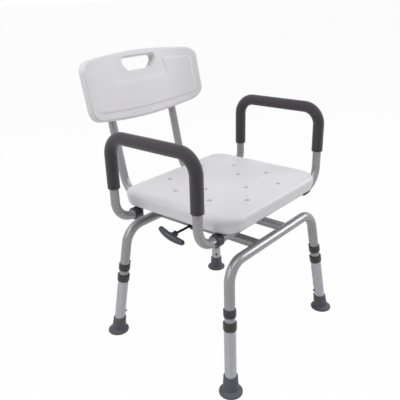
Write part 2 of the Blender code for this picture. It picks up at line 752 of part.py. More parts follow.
def build_seat_tubes(seat):
    """The front cross tube, the two side tubes and the flat rear bar."""
    stub = arm_stub_radius()
    section = [(stub, STUB_END_X), (stub, CROSS_HALF), (ARM_RADIUS, CROSS_HALF),
               (ARM_RADIUS, -CROSS_HALF), (stub, -CROSS_HALF), (stub, -STUB_END_X),
               (STUB_BORE, -STUB_END_X), (STUB_BORE, STUB_END_X)]
    across = axes_matrix((0, ARM_FRONT_Y, ARM_MOUNT_Z), (1, 0, 0), (0, -1, 0))
    cross = turned("front_cross_tube", section, "aluminium", seat, across, sides=TUBE_SIDES)
    low = ARM_BUTTON_X - PIN_RADIUS - SLIDE_GAP
    for side in (-1, 1):
        outward = axes_matrix((0, ARM_FRONT_Y, ARM_MOUNT_Z), (side, 0, 0), (0, -1, 0))
        cut(cross, pin_slot("arm_pin_slot", seat, outward, low, STUB_END_X + REACH))

    for name, side in (("left_side_tube", 1), ("right_side_tube", -1)):
        back = axes_matrix((side * SIDE_TUBE_X, 0, SIDE_TUBE_Z), (0, 1, 0), (0, 0, -1))
        section = ring_profile(bore_round(ARM_RADIUS), SIDE_TUBE_RADIUS, ARM_FRONT_Y, SIDE_TUBE_REAR_Y)
        side_tube = turned(name, section, "aluminium", seat, back, sides=TUBE_SIDES)
        cope = cylinder(bore_round(ARM_RADIUS, PIVOT_SIDES), -REACH, REACH, PIVOT_SIDES)
        over = axes_matrix((side * SIDE_TUBE_X, ARM_FRONT_Y, ARM_MOUNT_Z), (1, 0, 0), (0, 0, 1))
        pin = back @ Matrix.Translation((0, 0, BACK_TUBE_FRONT_Y + BACK_BUTTON_INSET))
        cut(side_tube, add_tool(name + "_cope", cope, seat, over), pin_hole(name + "_hole", seat, pin))

    low = SIDE_TUBE_Z + SIDE_TUBE_RADIUS + GAP
    high = SEAT_BOTTOM_Z - GAP
    near = ARM_REAR_Y - REAR_BAR_WIDTH / 2
    far = ARM_REAR_Y + REAR_BAR_WIDTH / 2
    outer = CROSS_HALF - GAP
    bar = add_part("rear_cross_bar", box((-outer, near, low), (outer, far, high)), "aluminium", seat)
    for side in (-1, 1):
        ends = sorted((side * (outer - REAR_BAR_EAR), side * outer))
        ear = box((ends[0], near, ARM_MOUNT_Z - REAR_BAR_DROP), (ends[1], far, high))
        outward = axes_matrix((0, ARM_REAR_Y, ARM_MOUNT_Z), (side, 0, 0), (0, -1, 0))
        pin = cylinder(stub, outer - REAR_BAR_EAR / 2, STUB_END_X)
        fuse(bar, add_tool("rear_ear", ear, seat), add_tool("rear_stub", pin, seat, outward))


def build_pan(seat):
    """The dished pan that turns on the base and carries the tubes, and the rod's guide in it."""
    _, _, floor, _ = swivel_levels()
    top = SIDE_TUBE_Z - SIDE_TUBE_RADIUS - GAP
    bore = DRUM_RADIUS + RUNNING_GAP
    slant = PAN_THICKNESS / 2
    section = [(PAN_RIM_RADIUS - slant, top), (PAN_RADIUS, top), (PAN_RADIUS, top - PAN_THICKNESS),
               (PAN_RIM_RADIUS, top - PAN_THICKNESS), (PAN_FLOOR_RADIUS, floor), (bore, floor),
               (bore, floor + PAN_THICKNESS), (PAN_FLOOR_RADIUS - slant, floor + PAN_THICKNESS)]
    pan = turned("swivel_pan", section, "steel", seat, sides=PIVOT_SIDES)
    toward = axes_matrix((0, 0, LOCK_Z), (-1, 0, 0), (0, 0, 1))
    room = cylinder(bore_round(GUIDE_BUSH_RADIUS), PAN_FLOOR_RADIUS - REACH / 2, PAN_RADIUS)
    cut(pan, add_tool("guide_room", room, seat, toward))

    bore = bore_round(ROD_RADIUS, TUBE_SIDES)
    flange_end = GUIDE_FLANGE_X + GUIDE_FLANGE_LENGTH
    section = [(GUIDE_FLANGE_RADIUS, flange_end), (GUIDE_FLANGE_RADIUS, GUIDE_FLANGE_X),
               (GUIDE_BUSH_RADIUS, GUIDE_FLANGE_X), (GUIDE_BUSH_RADIUS, GUIDE_INNER_X),
               (bore, GUIDE_INNER_X), (bore, flange_end)]
    turned("lock_guide", section, "collar_plastic", seat, toward, sides=TUBE_SIDES)

    points = SPRING_TURNS * HOLE_SIDES
    start = GUIDE_INNER_X - GAP - SPRING_WIRE
    coil = []
    for i in range(points + 1):
        angle = 2 * math.pi * i / HOLE_SIDES
        along = start - SPRING_PITCH * i / HOLE_SIDES
        coil.append(toward @ Vector((SPRING_RADIUS * math.cos(angle),
                                     SPRING_RADIUS * math.sin(angle), along)))
    realise(add_part("lock_spring", path_curve(coil, SPRING_WIRE, sides=6, capped=True), "steel", seat))


def build_lock(seat):
    """The rod that drops into the drum, and the T-handle that pulls it out."""
    toward = axes_matrix((0, 0, LOCK_Z), (-1, 0, 0), (0, 0, 1))
    lock = add_frame("lock_pull", seat, toward)
    tip = DRUM_RADIUS - DRUM_WALL + GAP
    root = HANDLE_FACE_X + HANDLE_BORE_DEPTH - GAP
    collar = ROD_COLLAR_X + ROD_COLLAR_LENGTH
    section = [(0.0, root), (ROD_RADIUS, root), (ROD_RADIUS, collar), (ROD_COLLAR_RADIUS, collar),
               (ROD_COLLAR_RADIUS, ROD_COLLAR_X), (ROD_RADIUS, ROD_COLLAR_X),
               (ROD_RADIUS, tip + ROD_RADIUS / 2), (ROD_RADIUS / 2, tip), (0.0, tip)]
    turned("lock_rod", section, "black_steel", lock, sides=HOLE_SIDES, closed=False)

    tilt = Matrix.Rotation(math.radians(HANDLE_TILT), 4, "Z")
    path = []
    scales = []
    for share in HANDLE_SHARES:
        across = share * (HANDLE_HALF_SPAN + HANDLE_END_RADIUS)
        path.append(tilt @ Vector((0.0, across, HANDLE_X - HANDLE_SAG * share ** 2)))
        radius = HANDLE_MID_RADIUS + (HANDLE_END_RADIUS - HANDLE_MID_RADIUS) * share ** 2
        scales.append(radius / HANDLE_MID_RADIUS)
    scales[0] *= HANDLE_TIP_SCALE
    scales[-1] *= HANDLE_TIP_SCALE
    bar = path_curve(path, HANDLE_MID_RADIUS, scales=scales, capped=True)
    handle = realise(add_part("lock_handle", bar, "handle_plastic", lock))
    section = [(0.0, HANDLE_X), (HANDLE_BOSS_RADIUS, HANDLE_X - HANDLE_BOSS_DOME)]
    section += [(HANDLE_BOSS_RADIUS - inset, HANDLE_FACE_X + rise) for inset, rise in HANDLE_BOSS_EDGES]
    section.append((0.0, HANDLE_FACE_X))
    boss = add_tool("handle_boss", profile_mesh(section, closed=False), lock)
    turn(boss, TUBE_SIDES)
    bore = cylinder(bore_round(ROD_RADIUS), HANDLE_FACE_X - REACH, HANDLE_FACE_X + HANDLE_BORE_DEPTH)
    fuse(handle, boss)
    cut(handle, add_tool("handle_bore", bore, lock))


def build_seat(seat):
    """The moulded seat: sides that lean in to rounded edges, a dish, drains and two bosses."""
    outline = rounded_loop([(-SEAT_HALF_WIDTH, SEAT_FRONT_Y), (SEAT_HALF_WIDTH, SEAT_FRONT_Y),
                            (SEAT_HALF_WIDTH, SEAT_REAR_Y), (-SEAT_HALF_WIDTH, SEAT_REAR_Y)],
                           [SEAT_FRONT_CORNER, SEAT_FRONT_CORNER, SEAT_REAR_CORNER, SEAT_REAR_CORNER])
    widest = SEAT_TOP_Z - SEAT_EDGE
    wall = widest - SEAT_BOTTOM_Z - SEAT_UNDER_EDGE
    upper = edge_steps(SEAT_EDGE) + [
        (SEAT_RIM, 0.0), (SEAT_DISH_STEP, -SEAT_DISH_DEPTH), (SEAT_DISH_STEP, -SEAT_DISH_DEPTH)]
    bm = board(outline, upper, [(SEAT_DRAFT, wall)] + edge_steps(SEAT_UNDER_EDGE, 2))
    panel = add_part("seat_panel", mesh_of(bm, "seat_panel"), "white_plastic", seat,
                     Matrix.Translation((0, 0, widest)))
    under = ARM_MOUNT_Z + ARM_RADIUS + GAP
    for side in (-1, 1):
        boss = cylinder(SEAT_BOSS_RADIUS, under, widest)
        at_boss = Matrix.Translation((side * SEAT_BOSS_X, ARM_FRONT_Y, 0))
        fuse(panel, add_tool("seat_boss", boss, seat, at_boss))
    bm = bmesh.new()
    for x, y in drain_places():
        bmesh.ops.create_cone(bm, cap_ends=True, segments=HOLE_SIDES, radius1=DRAIN_RADIUS,
                              radius2=DRAIN_RADIUS, depth=2 * REACH,
                              matrix=Matrix.Translation((x, y, SEAT_TOP_Z)))
    cut(panel, add_tool("drains", mesh_of(bm, "drains"), seat))


def drain_places():
    """The drain holes' places, in a pattern about the seat's middle."""
    middle = (SEAT_FRONT_Y + SEAT_REAR_Y) / 2
    places = [(0.0, DRAIN_END_Y), (0.0, -DRAIN_END_Y), (DRAIN_SIDE_X, 0.0), (-DRAIN_SIDE_X, 0.0)]
    for x, y in (DRAIN_OUTER, DRAIN_CORNER):
        places += [(x, y), (-x, y), (x, -y), (-x, -y)]
    return [(x, middle + y) for x, y in places]


def build_arm(name, side, seat):
    """One arm: the bent tube, its foam grip, its two collars on the seat and its button."""
    for end_name, y in (("front", ARM_FRONT_Y), ("rear", ARM_REAR_Y)):
        bore = bore_round(arm_stub_radius())
        outward = axes_matrix((0, y, ARM_MOUNT_Z), (side, 0, 0), (0, -1, 0))
        section = ring_profile(bore, COLLAR_RADIUS, CROSS_HALF + GAP, COLLAR_OUTER_X, COLLAR_EDGE)
        turned(name + "_" + end_name + "_collar", section, "collar_plastic", seat, outward)

    arm = add_frame(name + "_arm", seat)
    foot_x = side * (COLLAR_OUTER_X + GAP)
    arm_x = side * ARM_X
    corners = [(foot_x, ARM_FRONT_Y, ARM_MOUNT_Z), (arm_x, ARM_FRONT_Y, ARM_MOUNT_Z),
               (arm_x, ARM_FRONT_Y, ARM_TOP_Z), (arm_x, ARM_REAR_Y, ARM_TOP_Z),
               (arm_x, ARM_REAR_Y, ARM_MOUNT_Z), (foot_x, ARM_REAR_Y, ARM_MOUNT_Z)]
    bends = [ARM_LOWER_BEND, ARM_UPPER_BEND, ARM_UPPER_BEND, ARM_LOWER_BEND]
    arm_tube = tube(name + "_arm_tube", rounded_path(corners, bends), ARM_RADIUS, ARM_WALL,
                    "aluminium", arm)
    outward = axes_matrix((0, ARM_FRONT_Y, ARM_MOUNT_Z), (side, 0, 0), (0, -1, 0))
    at_pin = outward @ Matrix.Translation((0, 0, ARM_BUTTON_X))
    cut(arm_tube, pin_hole(name + "_arm_hole", arm, at_pin))
    snap_button(name + "_arm_button", arm, at_pin, ARM_RADIUS, STUB_BORE, ARM_PIN_PROUD,
                ARM_BUTTON_TRAVEL, -LEAF_REACH)

    grip_path = rounded_path([(arm_x, ARM_FRONT_Y, GRIP_FRONT_ENDS_Z[name]), corners[2], corners[3],
                              (arm_x, ARM_REAR_Y, GRIP_REAR_ENDS_Z[name])],
                             [ARM_UPPER_BEND, ARM_UPPER_BEND])
    tube(name + "_arm_grip", grip_path, GRIP_RADIUS, GRIP_RADIUS - bore_round(ARM_RADIUS), "foam", arm)


def back_point(x, up, forward):
    """A point of the backrest: up along the back tubes' line, and forward of it."""
    slope = math.sqrt(1 + BACK_LEAN ** 2)
    return Vector((x, BACK_LINE_Y + (BACK_LEAN * up - forward) / slope,
                   BACK_LINE_Z + (up + BACK_LEAN * forward) / slope))


def build_back(seat):
    """The backrest and its two tubes, which slide out of the side tubes together."""
    back = add_frame("back", seat)
    plane = axes_matrix(back_point(0, 0, 0), back_point(0, 0, 1) - back_point(0, 0, 0), (1, 0, 0))
    build_backrest(back, plane)

    slope = math.sqrt(1 + BACK_LEAN ** 2)
    knee_up = (SIDE_TUBE_Z - BACK_LINE_Z) * slope
    for name, side in (("left_back", 1), ("right_back", -1)):
        x = side * SIDE_TUBE_X
        corners = [(x, BACK_TUBE_FRONT_Y, SIDE_TUBE_Z), back_point(x, knee_up, 0),
                   back_point(x, BACK_SOCKET_TOP - BACK_SOCKET_ROOF - GAP, 0)]
        back_tube = tube(name + "_tube", rounded_path(corners, [BACK_BEND]), ARM_RADIUS, ARM_WALL,
                         "aluminium", back)
        inward = axes_matrix((x, BACK_TUBE_FRONT_Y, SIDE_TUBE_Z), (0, 1, 0), (0, 0, -1))
        cut(back_tube, pin_slot(name + "_slot", back, inward, -REACH,
                                BACK_BUTTON_INSET + PIN_RADIUS + SLIDE_GAP))
        at_pin = inward @ Matrix.Translation((0, 0, BACK_BUTTON_INSET))
        snap_button(name + "_button", seat, at_pin, SIDE_TUBE_RADIUS, ARM_RADIUS - ARM_WALL, PIN_PROUD,
                    BUTTON_TRAVEL, LEAF_REACH)


def build_backrest(back, plane):
    """The curved backrest: rounded edges, a hand hole and a socket for each back tube."""
    outline = rounded_loop([(-BACK_HALF_WIDTH, BACK_BOTTOM), (BACK_HALF_WIDTH, BACK_BOTTOM),
                            (BACK_HALF_WIDTH, BACK_TOP), (-BACK_HALF_WIDTH, BACK_TOP)],
                           [BACK_BOTTOM_CORNER, BACK_BOTTOM_CORNER, BACK_TOP_CORNER, BACK_TOP_CORNER])
    wall = BACK_THICKNESS / 2 - BACK_EDGE
    steps = [(0.0, wall)] + edge_steps(BACK_EDGE, 2)
    bm = board(outline, steps, steps)
    for station in BACK_STATIONS:
        for x in (-station * BACK_HALF_WIDTH, station * BACK_HALF_WIDTH):
            bmesh.ops.bisect_plane(bm, geom=bm.verts[:] + bm.edges[:] + bm.faces[:],
                                   plane_co=(x, 0, 0), plane_no=(1, 0, 0), dist=MERGE)
    middle = (BACK_TOP + BACK_BOTTOM) / 2
    for vert in bm.verts:
        across = abs(vert.co.x / BACK_HALF_WIDTH)
        share = (vert.co.y - middle) / (BACK_TOP - middle)
        crown = BACK_TOP_CROWN if share > 0 else BACK_BOTTOM_CROWN
        vert.co.y -= crown * across ** 2 * share
        vert.co.z += BACK_FORWARD + BACK_WING * across ** BACK_WING_POWER
    panel = add_part("back_panel", mesh_of(bm, "back_panel"), "white_plastic", back, plane)

    right = [(HAND_HOLE_FOOT_HALF, HAND_HOLE_BOTTOM), (HAND_HOLE_HALF, HAND_HOLE_SHOULDER),
             (HAND_HOLE_HALF, HAND_HOLE_TOP)]
    radii = [HAND_HOLE_FOOT_CORNER, HAND_HOLE_FOOT_CORNER, HAND_HOLE_TOP_CORNER]
    hole = rounded_loop(right + [(-x, up) for x, up in reversed(right)], radii + radii[::-1],
                        HAND_HOLE_STEPS)
    cut(panel, realise(add_tool("hand_hole", outline_curve([hole], 4 * REACH), back, plane)))
    bores = []
    for side in (-1, 1):
        start = BACK_BOTTOM + BACK_BOTTOM_CROWN
        upward = plane @ axes_matrix((side * SIDE_TUBE_X, 0, 0), (0, 1, 0), (1, 0, 0))
        socket = cylinder(BACK_SOCKET_RADIUS, start, BACK_SOCKET_TOP, TURNED_SIDES)
        bore = cylinder(bore_round(ARM_RADIUS), BACK_BOTTOM - REACH, BACK_SOCKET_TOP - BACK_SOCKET_ROOF)
        fuse(panel, add_tool("socket", socket, back, upward))
        bores.append(add_tool("socket_bore", bore, back, upward))
    cut(panel, *bores)


def centre_footprint(chair):
    """Move the chair so that the middle of its footprint is at the origin."""
    bpy.context.view_layer.update()
    graph = bpy.context.evaluated_depsgraph_get()
    points = []
    for obj in PARTS.objects:
        if obj.type == "MESH":
            shape = obj.evaluated_get(graph)
            points += [shape.matrix_world @ vert.co for vert in shape.data.vertices]
    for axis in range(2):
        values = [point[axis] for point in points]
        chair.location[axis] = -(min(values) + max(values)) / 2
    bpy.context.view_layer.update()


def main():
    """Build the chair."""
    chair = add_frame("chair")
    build_u_frame("front_frame", -1, chair)
    build_u_frame("rear_frame", 1, chair)
    build_rail("left_rail", 1, chair)
    build_rail("right_rail", -1, chair)
    build_swivel_base(chair)
    for end_name, end in (("front", -1), ("rear", 1)):
        for side_name, side in (("left", 1), ("right", -1)):
            build_leg(end_name + "_" + side_name, side, end, chair)
    seat = add_frame("seat_turn", chair)
    build_seat_tubes(seat)
    build_pan(seat)
    build_lock(seat)
    build_seat(seat)
    build_arm("left", 1, seat)
    build_arm("right", -1, seat)
    build_back(seat)
    centre_footprint(chair)


clear_scene()
PARTS = add_collection("swivel_shower_chair")
TOOLS = add_collection("cutters", hidden=True)
main()
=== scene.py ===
"""A swivelling shower chair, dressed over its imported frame.

Metres, +Z up. The chair faces -Y and its left side is +X. Each sub-assembly is a class whose
fields are its sizes. Its pieces are shaped about the swivel's axis, or about a leg's own axis,
and then placed in the row's frame. Every piece keeps its own untilted coordinates in the
attribute "local", which its finish reads, so that a grain runs along its tube.
"""

import logging
import math
from dataclasses import dataclass
from enum import Enum
from typing import Callable, Iterable, Optional, Sequence, Union

import bmesh
import bpy
from mathutils import Matrix, Vector


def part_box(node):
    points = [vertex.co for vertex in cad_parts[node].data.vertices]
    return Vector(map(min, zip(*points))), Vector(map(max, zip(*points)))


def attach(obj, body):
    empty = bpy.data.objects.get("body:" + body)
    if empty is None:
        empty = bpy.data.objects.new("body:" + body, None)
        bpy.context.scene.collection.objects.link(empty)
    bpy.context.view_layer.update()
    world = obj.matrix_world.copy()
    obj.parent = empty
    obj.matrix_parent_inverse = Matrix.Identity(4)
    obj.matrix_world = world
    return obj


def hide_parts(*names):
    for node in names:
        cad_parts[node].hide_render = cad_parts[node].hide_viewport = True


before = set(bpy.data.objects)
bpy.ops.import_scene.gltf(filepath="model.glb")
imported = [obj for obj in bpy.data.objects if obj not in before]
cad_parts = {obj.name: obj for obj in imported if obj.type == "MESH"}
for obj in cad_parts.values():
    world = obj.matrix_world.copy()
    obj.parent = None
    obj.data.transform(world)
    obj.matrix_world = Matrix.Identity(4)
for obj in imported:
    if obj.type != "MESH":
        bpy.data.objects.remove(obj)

LOG = logging.getLogger("shower_chair")
Pair = tuple[float, float]
BMesh = bmesh.types.BMesh
Value = Union[float, bpy.types.NodeSocket]

# The clearance between pieces, the distance within which points merge, how far a cutter reaches
# past what it cuts, the sides of a turned form, and the angle past which an edge counts as square.
GAP = 0.0003
MERGE = 0.000002
REACH = 0.05
SMOOTH_SIDES = 48
SQUARE = 60.0
FACING_DOWN = Matrix.Rotation(math.pi, 4, "X")
FACING_X = Matrix.Rotation(math.pi / 2, 4, "Y")


class Place(Enum):
    """A choice of place whose name is a word of the pieces' names."""

    @property
    def word(self) -> str:
        """The place in a piece's name."""
        return self.name.lower()


class Side(Place):
    """A side of the chair, as the sitter has it."""

    LEFT = 1
    RIGHT = -1


class End(Place):
    """The front or the rear of the chair."""

    FRONT = -1
    REAR = 1


# Finishes


class Shader:
    """The node tree of one material."""

    def __init__(self, name: str) -> None:
        """Start a Principled material whose patterns read the piece's own coordinates.

        Args:
            name: The material's name.
        """
        self.material = bpy.data.materials.new(name)
        self.material.use_nodes = True
        self.tree = self.material.node_tree
        self.surface = self.tree.nodes["Principled BSDF"]
        self.local = self.node("ShaderNodeAttribute", attribute_name="local").outputs["Vector"]

    def node(self, kind: str, inputs: Optional[dict] = None, **settings) -> bpy.types.Node:
        """Add a node.

        Args:
            kind: The node's type.
            inputs: Values or sockets, by input name or number.
            settings: The node's own settings.

        Returns:
            The node.
        """
        node = self.tree.nodes.new(kind)
        for key, value in settings.items():
            setattr(node, key, value)
        for key, value in (inputs or {}).items():
            if isinstance(value, bpy.types.NodeSocket):
                self.tree.links.new(value, node.inputs[key])
            else:
                node.inputs[key].default_value = value
        return node

    def stretched(self, x: float, y: float, z: float) -> bpy.types.NodeSocket:
        """The piece's coordinates, each multiplied by its own number."""
        return self.node("ShaderNodeMapping", {"Vector": self.local, "Scale": (x, y, z)}).outputs[0]

    def noise(self, source: bpy.types.NodeSocket, scale: float, detail: float = 3.0,
              roughness: float = 0.5) -> bpy.types.NodeSocket:
        """Cloudy noise.

        Args:
            source: Where it is read.
            scale: Its scale, per metre of the source.
            detail: Its number of finer layers.
            roughness: How much the finer layers count.

        Returns:
            Its value, from 0 to 1.
        """
        inputs = {"Vector": source, "Scale": scale, "Detail": detail, "Roughness": roughness}
        return self.node("ShaderNodeTexNoise", inputs).outputs["Fac"]

    def spread(self, value: bpy.types.NodeSocket, low: float, high: float, start: float = 0.3,
               stop: float = 0.7) -> bpy.types.NodeSocket:
        """Map a value's range to another one, held at both ends.

        Args:
            value: The value.
            low: The result at start.
            high: The result at stop.
            start: Where the value's range starts.
            stop: Where it stops.

        Returns:
            The result.
        """
        inputs = {"Value": value, "From Min": start, "From Max": stop, "To Min": low,
                  "To Max": high}
        return self.node("ShaderNodeMapRange", inputs).outputs["Result"]

    def blend(self, factor: bpy.types.NodeSocket, first: Sequence[float],
              second: Sequence[float]) -> bpy.types.NodeSocket:
        """Mix two colours.

        Args:
            factor: The second colour's share.
            first: The colour at 0.
            second: The colour at 1.

        Returns:
            The mixed colour.
        """
        mix = self.node("ShaderNodeMix", {0: factor}, data_type="RGBA")
        for socket, colour in ((mix.inputs[6], first), (mix.inputs[7], second)):
            if isinstance(colour, bpy.types.NodeSocket):
                self.tree.links.new(colour, socket)
            else:
                socket.default_value = (*colour, 1.0)
        return mix.outputs[2]

    def join(self, operation: str, first: Value, second: Value) -> bpy.types.NodeSocket:
        """Combine two values with one arithmetic operation."""
        return self.node("ShaderNodeMath", {0: first, 1: second}, operation=operation).outputs[0]

    def drive(self, name: str, socket: bpy.types.NodeSocket) -> None:
        """Link a socket to one of the surface's inputs."""
        self.tree.links.new(socket, self.surface.inputs[name])

    def relief(self, height: bpy.types.NodeSocket, depth: float, strength: float) -> None:
        """Bump the surface by a height pattern.

        Args:
            height: The pattern.
            depth: Its depth in metres.
            strength: How much of it shows.
        """
        bump = self.node("ShaderNodeBump",
                         {"Height": height, "Distance": depth, "Strength": strength})
        self.drive("Normal", bump.outputs[0])


def tinted(colour: Sequence[float], share: float) -> tuple[float, ...]:
    """A colour made darker or lighter by a share."""
    return tuple(channel * share for channel in colour)


@dataclass(frozen=True)
class DrawnMetal:
    """Drawn or turned metal: fine lines along the piece, clouded gloss, faint handling marks and
    painted reflection bands.
    """

    name: str
    colour: tuple[float, float, float]
    roughness: float
    metallic: float = 1.0
    line: float = 0.04
    relief: float = 0.12
    # How far the painted reflection bands along the tube darken the colour.
    painted_reflection_share: float = 0.35
    edge_tint: tuple[float, float, float] = (0.35, 0.35, 0.35)

    def material(self) -> bpy.types.Material:
        """The finish as a material.

        Returns:
            The material.
        """
        shader = Shader(self.name)
        shader.surface.inputs["Metallic"].default_value = self.metallic
        shader.surface.inputs["Specular Tint"].default_value = (*self.edge_tint, 1.0)
        lines = shader.noise(shader.stretched(1.0, 1.0, self.line), 2600.0, 2.0)
        cloud = shader.noise(shader.local, 38.0, 4.0, 0.6)
        marks = shader.noise(shader.stretched(1.0, 1.0, 0.3), 420.0, 5.0, 0.72)
        tone = shader.blend(shader.spread(cloud, 0.0, 1.0), tinted(self.colour, 0.93), self.colour)
        # Painted reflection: dark bands that run along the tube, standing in for darker
        # surroundings seen in the metal.
        painted_reflections = shader.noise(shader.stretched(1.0, 1.0, self.line / 4), 170.0, 1.0)
        tone = shader.blend(shader.spread(painted_reflections, 0.0, self.painted_reflection_share), tone,
                            tinted(self.colour, 0.6))
        tone = shader.blend(shader.spread(marks, 0.0, 0.5, 0.62, 0.80), tone,
                            tinted(self.colour, 0.72))
        shader.drive("Base Color", tone)
        gloss = shader.spread(lines, self.roughness - 0.05, self.roughness + 0.07)
        dull = shader.spread(marks, 0.0, 0.12, 0.6, 0.8)
        shader.drive("Roughness", shader.join("ADD", gloss, dull))
        shader.relief(lines, 0.00003, self.relief)
        return shader.material


@dataclass(frozen=True)
class MouldedPlastic:
    """Moulded plastic: an orange-peel skin, a faint tone from place to place and soft scuffs."""

    name: str
    colour: tuple[float, float, float]
    roughness: float
    grain: float = 900.0
    peel: float = 0.10
    scuff: float = 0.9

    def material(self) -> bpy.types.Material:
        """The finish as a material.

        Returns:
            The material.
        """
        shader = Shader(self.name)
        shader.surface.inputs["IOR"].default_value = 1.49
        cloud = shader.noise(shader.local, 14.0, 3.0, 0.55)
        peel = shader.noise(shader.local, self.grain, 2.0, 0.45)
        ripple = shader.noise(shader.local, 60.0, 2.0, 0.5)
        scuffs = shader.noise(shader.stretched(1.0, 0.22, 1.0), 260.0, 6.0, 0.75)
        tone = shader.blend(shader.spread(cloud, 0.0, 1.0), tinted(self.colour, 0.965), self.colour)
        worn = tinted(self.colour, self.scuff)
        tone = shader.blend(shader.spread(scuffs, 0.0, 0.35, 0.66, 0.82), tone, worn)
        shader.drive("Base Color", tone)
        gloss = shader.spread(peel, self.roughness - 0.04, self.roughness + 0.05)
        dull = shader.spread(scuffs, 0.0, 0.15, 0.6, 0.8)
        shader.drive("Roughness", shader.join("ADD", gloss, dull))
        height = shader.join("ADD", peel, shader.join("MULTIPLY", ripple, 1.5))
        shader.relief(height, 0.00012, self.peel)
        return shader.material


@dataclass(frozen=True)
class FoamSkin:
    """Closed-cell foam: fine open cells at the skin, a matt sheen and slow unevenness."""

    name: str
    colour: tuple[float, float, float]

    def material(self) -> bpy.types.Material:
        """The finish as a material.

        Returns:
            The material.
        """
        shader = Shader(self.name)
        shader.surface.inputs["Sheen Weight"].default_value = 0.45
        shader.surface.inputs["Sheen Roughness"].default_value = 0.45
        shader.surface.inputs["Specular IOR Level"].default_value = 0.35
        cells = shader.node("ShaderNodeTexVoronoi", {"Vector": shader.local, "Scale": 1500.0},
                            feature="F1").outputs["Distance"]
        cloud = shader.noise(shader.local, 26.0, 4.0, 0.6)
        rubs = shader.noise(shader.stretched(1.0, 1.0, 0.5), 150.0, 5.0, 0.7)
        tone = shader.blend(shader.spread(cells, 0.0, 1.0, 0.05, 0.55), tinted(self.colour, 0.78),
                            tinted(self.colour, 1.12))
        tone = shader.blend(shader.spread(cloud, 0.0, 0.5), tone, tinted(self.colour, 1.25))
        shader.drive("Base Color", tone)
        shader.drive("Roughness", shader.spread(rubs, 0.70, 0.90))
        shader.relief(cells, 0.00022, 0.35)
        return shader.material


@dataclass(frozen=True)
class MouldedRubber:
    """Matt rubber: a dusty bloom, fine grain and darker rubbed patches."""

    name: str
    colour: tuple[float, float, float]
    roughness: float

    def material(self) -> bpy.types.Material:
        """The finish as a material.

        Returns:
            The material.
        """
        shader = Shader(self.name)
        shader.surface.inputs["Specular IOR Level"].default_value = 0.4
        grain = shader.noise(shader.local, 1400.0, 3.0, 0.6)
        bloom = shader.noise(shader.local, 55.0, 5.0, 0.62)
        tone = shader.blend(shader.spread(bloom, 0.0, 1.0), tinted(self.colour, 0.86),
                            tinted(self.colour, 1.14))
        tone = shader.blend(shader.spread(grain, 0.0, 0.3, 0.5, 0.8), tone,
                            tinted(self.colour, 1.5))
        shader.drive("Base Color", tone)
        shader.drive("Roughness", shader.spread(bloom, self.roughness - 0.08, self.roughness + 0.1))
        shader.relief(grain, 0.00010, 0.25)
        return shader.material


class Finish(Enum):
    """The chair's finishes, by the record's material slot."""

    ALUMINIUM = DrawnMetal("aluminium", (0.345, 0.342, 0.356), 0.26, 0.35,
                           edge_tint=(0.8, 0.8, 0.8))
    PALE_ALUMINIUM = DrawnMetal("aluminium", (0.47, 0.47, 0.51), 0.28, 0.35,
                                edge_tint=(0.8, 0.8, 0.8))
    WHITE_PLASTIC = MouldedPlastic("white_plastic", (0.71, 0.70, 0.72), 0.46)
    FOAM = FoamSkin("foam", (0.040, 0.034, 0.040))
    COLLAR_PLASTIC = MouldedPlastic("collar_plastic", (0.024, 0.023, 0.025), 0.42, 1100.0, 0.14,
                                    1.6)
    FOOT_RUBBER = MouldedRubber("foot_rubber", (0.080, 0.080, 0.098), 0.60)
    HANDLE_PLASTIC = MouldedPlastic("handle_plastic", (0.050, 0.050, 0.078), 0.38, 1100.0, 0.14,
                                    1.5)
    STEEL = DrawnMetal("steel", (0.42, 0.42, 0.43), 0.30, 1.0, 0.9, 0.2)
    BLACK_STEEL = DrawnMetal("black_steel", (0.018, 0.018, 0.018), 0.36, 0.4)
    GLIDE_PLASTIC = MouldedPlastic("glide_plastic", (0.60, 0.60, 0.56), 0.48)
    # Olive plated pins, darkened almost to black: painted shade of buttons that sit in shadow.
    PIN_METAL = DrawnMetal("pin_metal", (0.085, 0.083, 0.070), 0.32, 0.7, 1.0, 0.2)

    @property
    def material(self) -> bpy.types.Material:
        """The finish's material, made the first time it is asked for.

        Returns:
            The material.
        """
        name = "finish_" + self.name.lower()
        made = bpy.data.materials.get(name)
        if made is None:
            made = self.value.material()
            made.name = name
        return made


# Shaping


def axes_matrix(origin: Sequence[float], z_axis: Sequence[float],
                x_axis: Sequence[float]) -> Matrix:
    """A frame from its origin and the way that its axes point.

    Args:
        origin: Its origin.
        z_axis: Where its Z axis points.
        x_axis: Where its X axis points, as near as it can.

    Returns:
        The frame.
    """
    z_axis = Vector(z_axis).normalized()
    x_axis = Vector(x_axis)
    x_axis = (x_axis - x_axis.dot(z_axis) * z_axis).normalized()
    matrix = Matrix((x_axis, z_axis.cross(x_axis), z_axis)).transposed().to_4x4()
    matrix.translation = Vector(origin)
    return matrix


def arc(before: Vector, corner: Vector, after: Vector, radius: float, steps: int) -> list[Vector]:
    """Points of the arc that rounds a corner.

    Args:
        before: A point on the line that comes in.
        corner: The corner.
        after: A point on the line that goes out.
        radius: The arc's radius.
        steps: Its number of steps.

    Returns:
        Its points, in order.
    """
    to_before = (before - corner).normalized()
    to_after = (after - corner).normalized()
    half = to_before.angle(to_after) / 2
    centre = corner + (to_before + to_after).normalized() * radius / math.sin(half)
    start = corner + to_before * radius / math.tan(half) - centre
    stop = corner + to_after * radius / math.tan(half) - centre
    axis = start.cross(stop).normalized()
    sweep = math.pi - 2 * half
    return [centre + Matrix.Rotation(sweep * i / steps, 3, axis) @ start for i in range(steps + 1)]


def rounded_path(corners: Iterable, radii: Sequence[float], steps: int = 14) -> list[Vector]:
    """An open path through the corners, rounded at each inner one.

    Args:
        corners: The path's two ends and the corners between them.
        radii: The radius at each inner corner.
        steps: The steps round each.

    Returns:
        The path's points.
    """
    corners = [Vector(corner) for corner in corners]
    path = [corners[0]]
    for i, radius in enumerate(radii):
        path += arc(corners[i], corners[i + 1], corners[i + 2], radius, steps)
    return path + [corners[-1]]


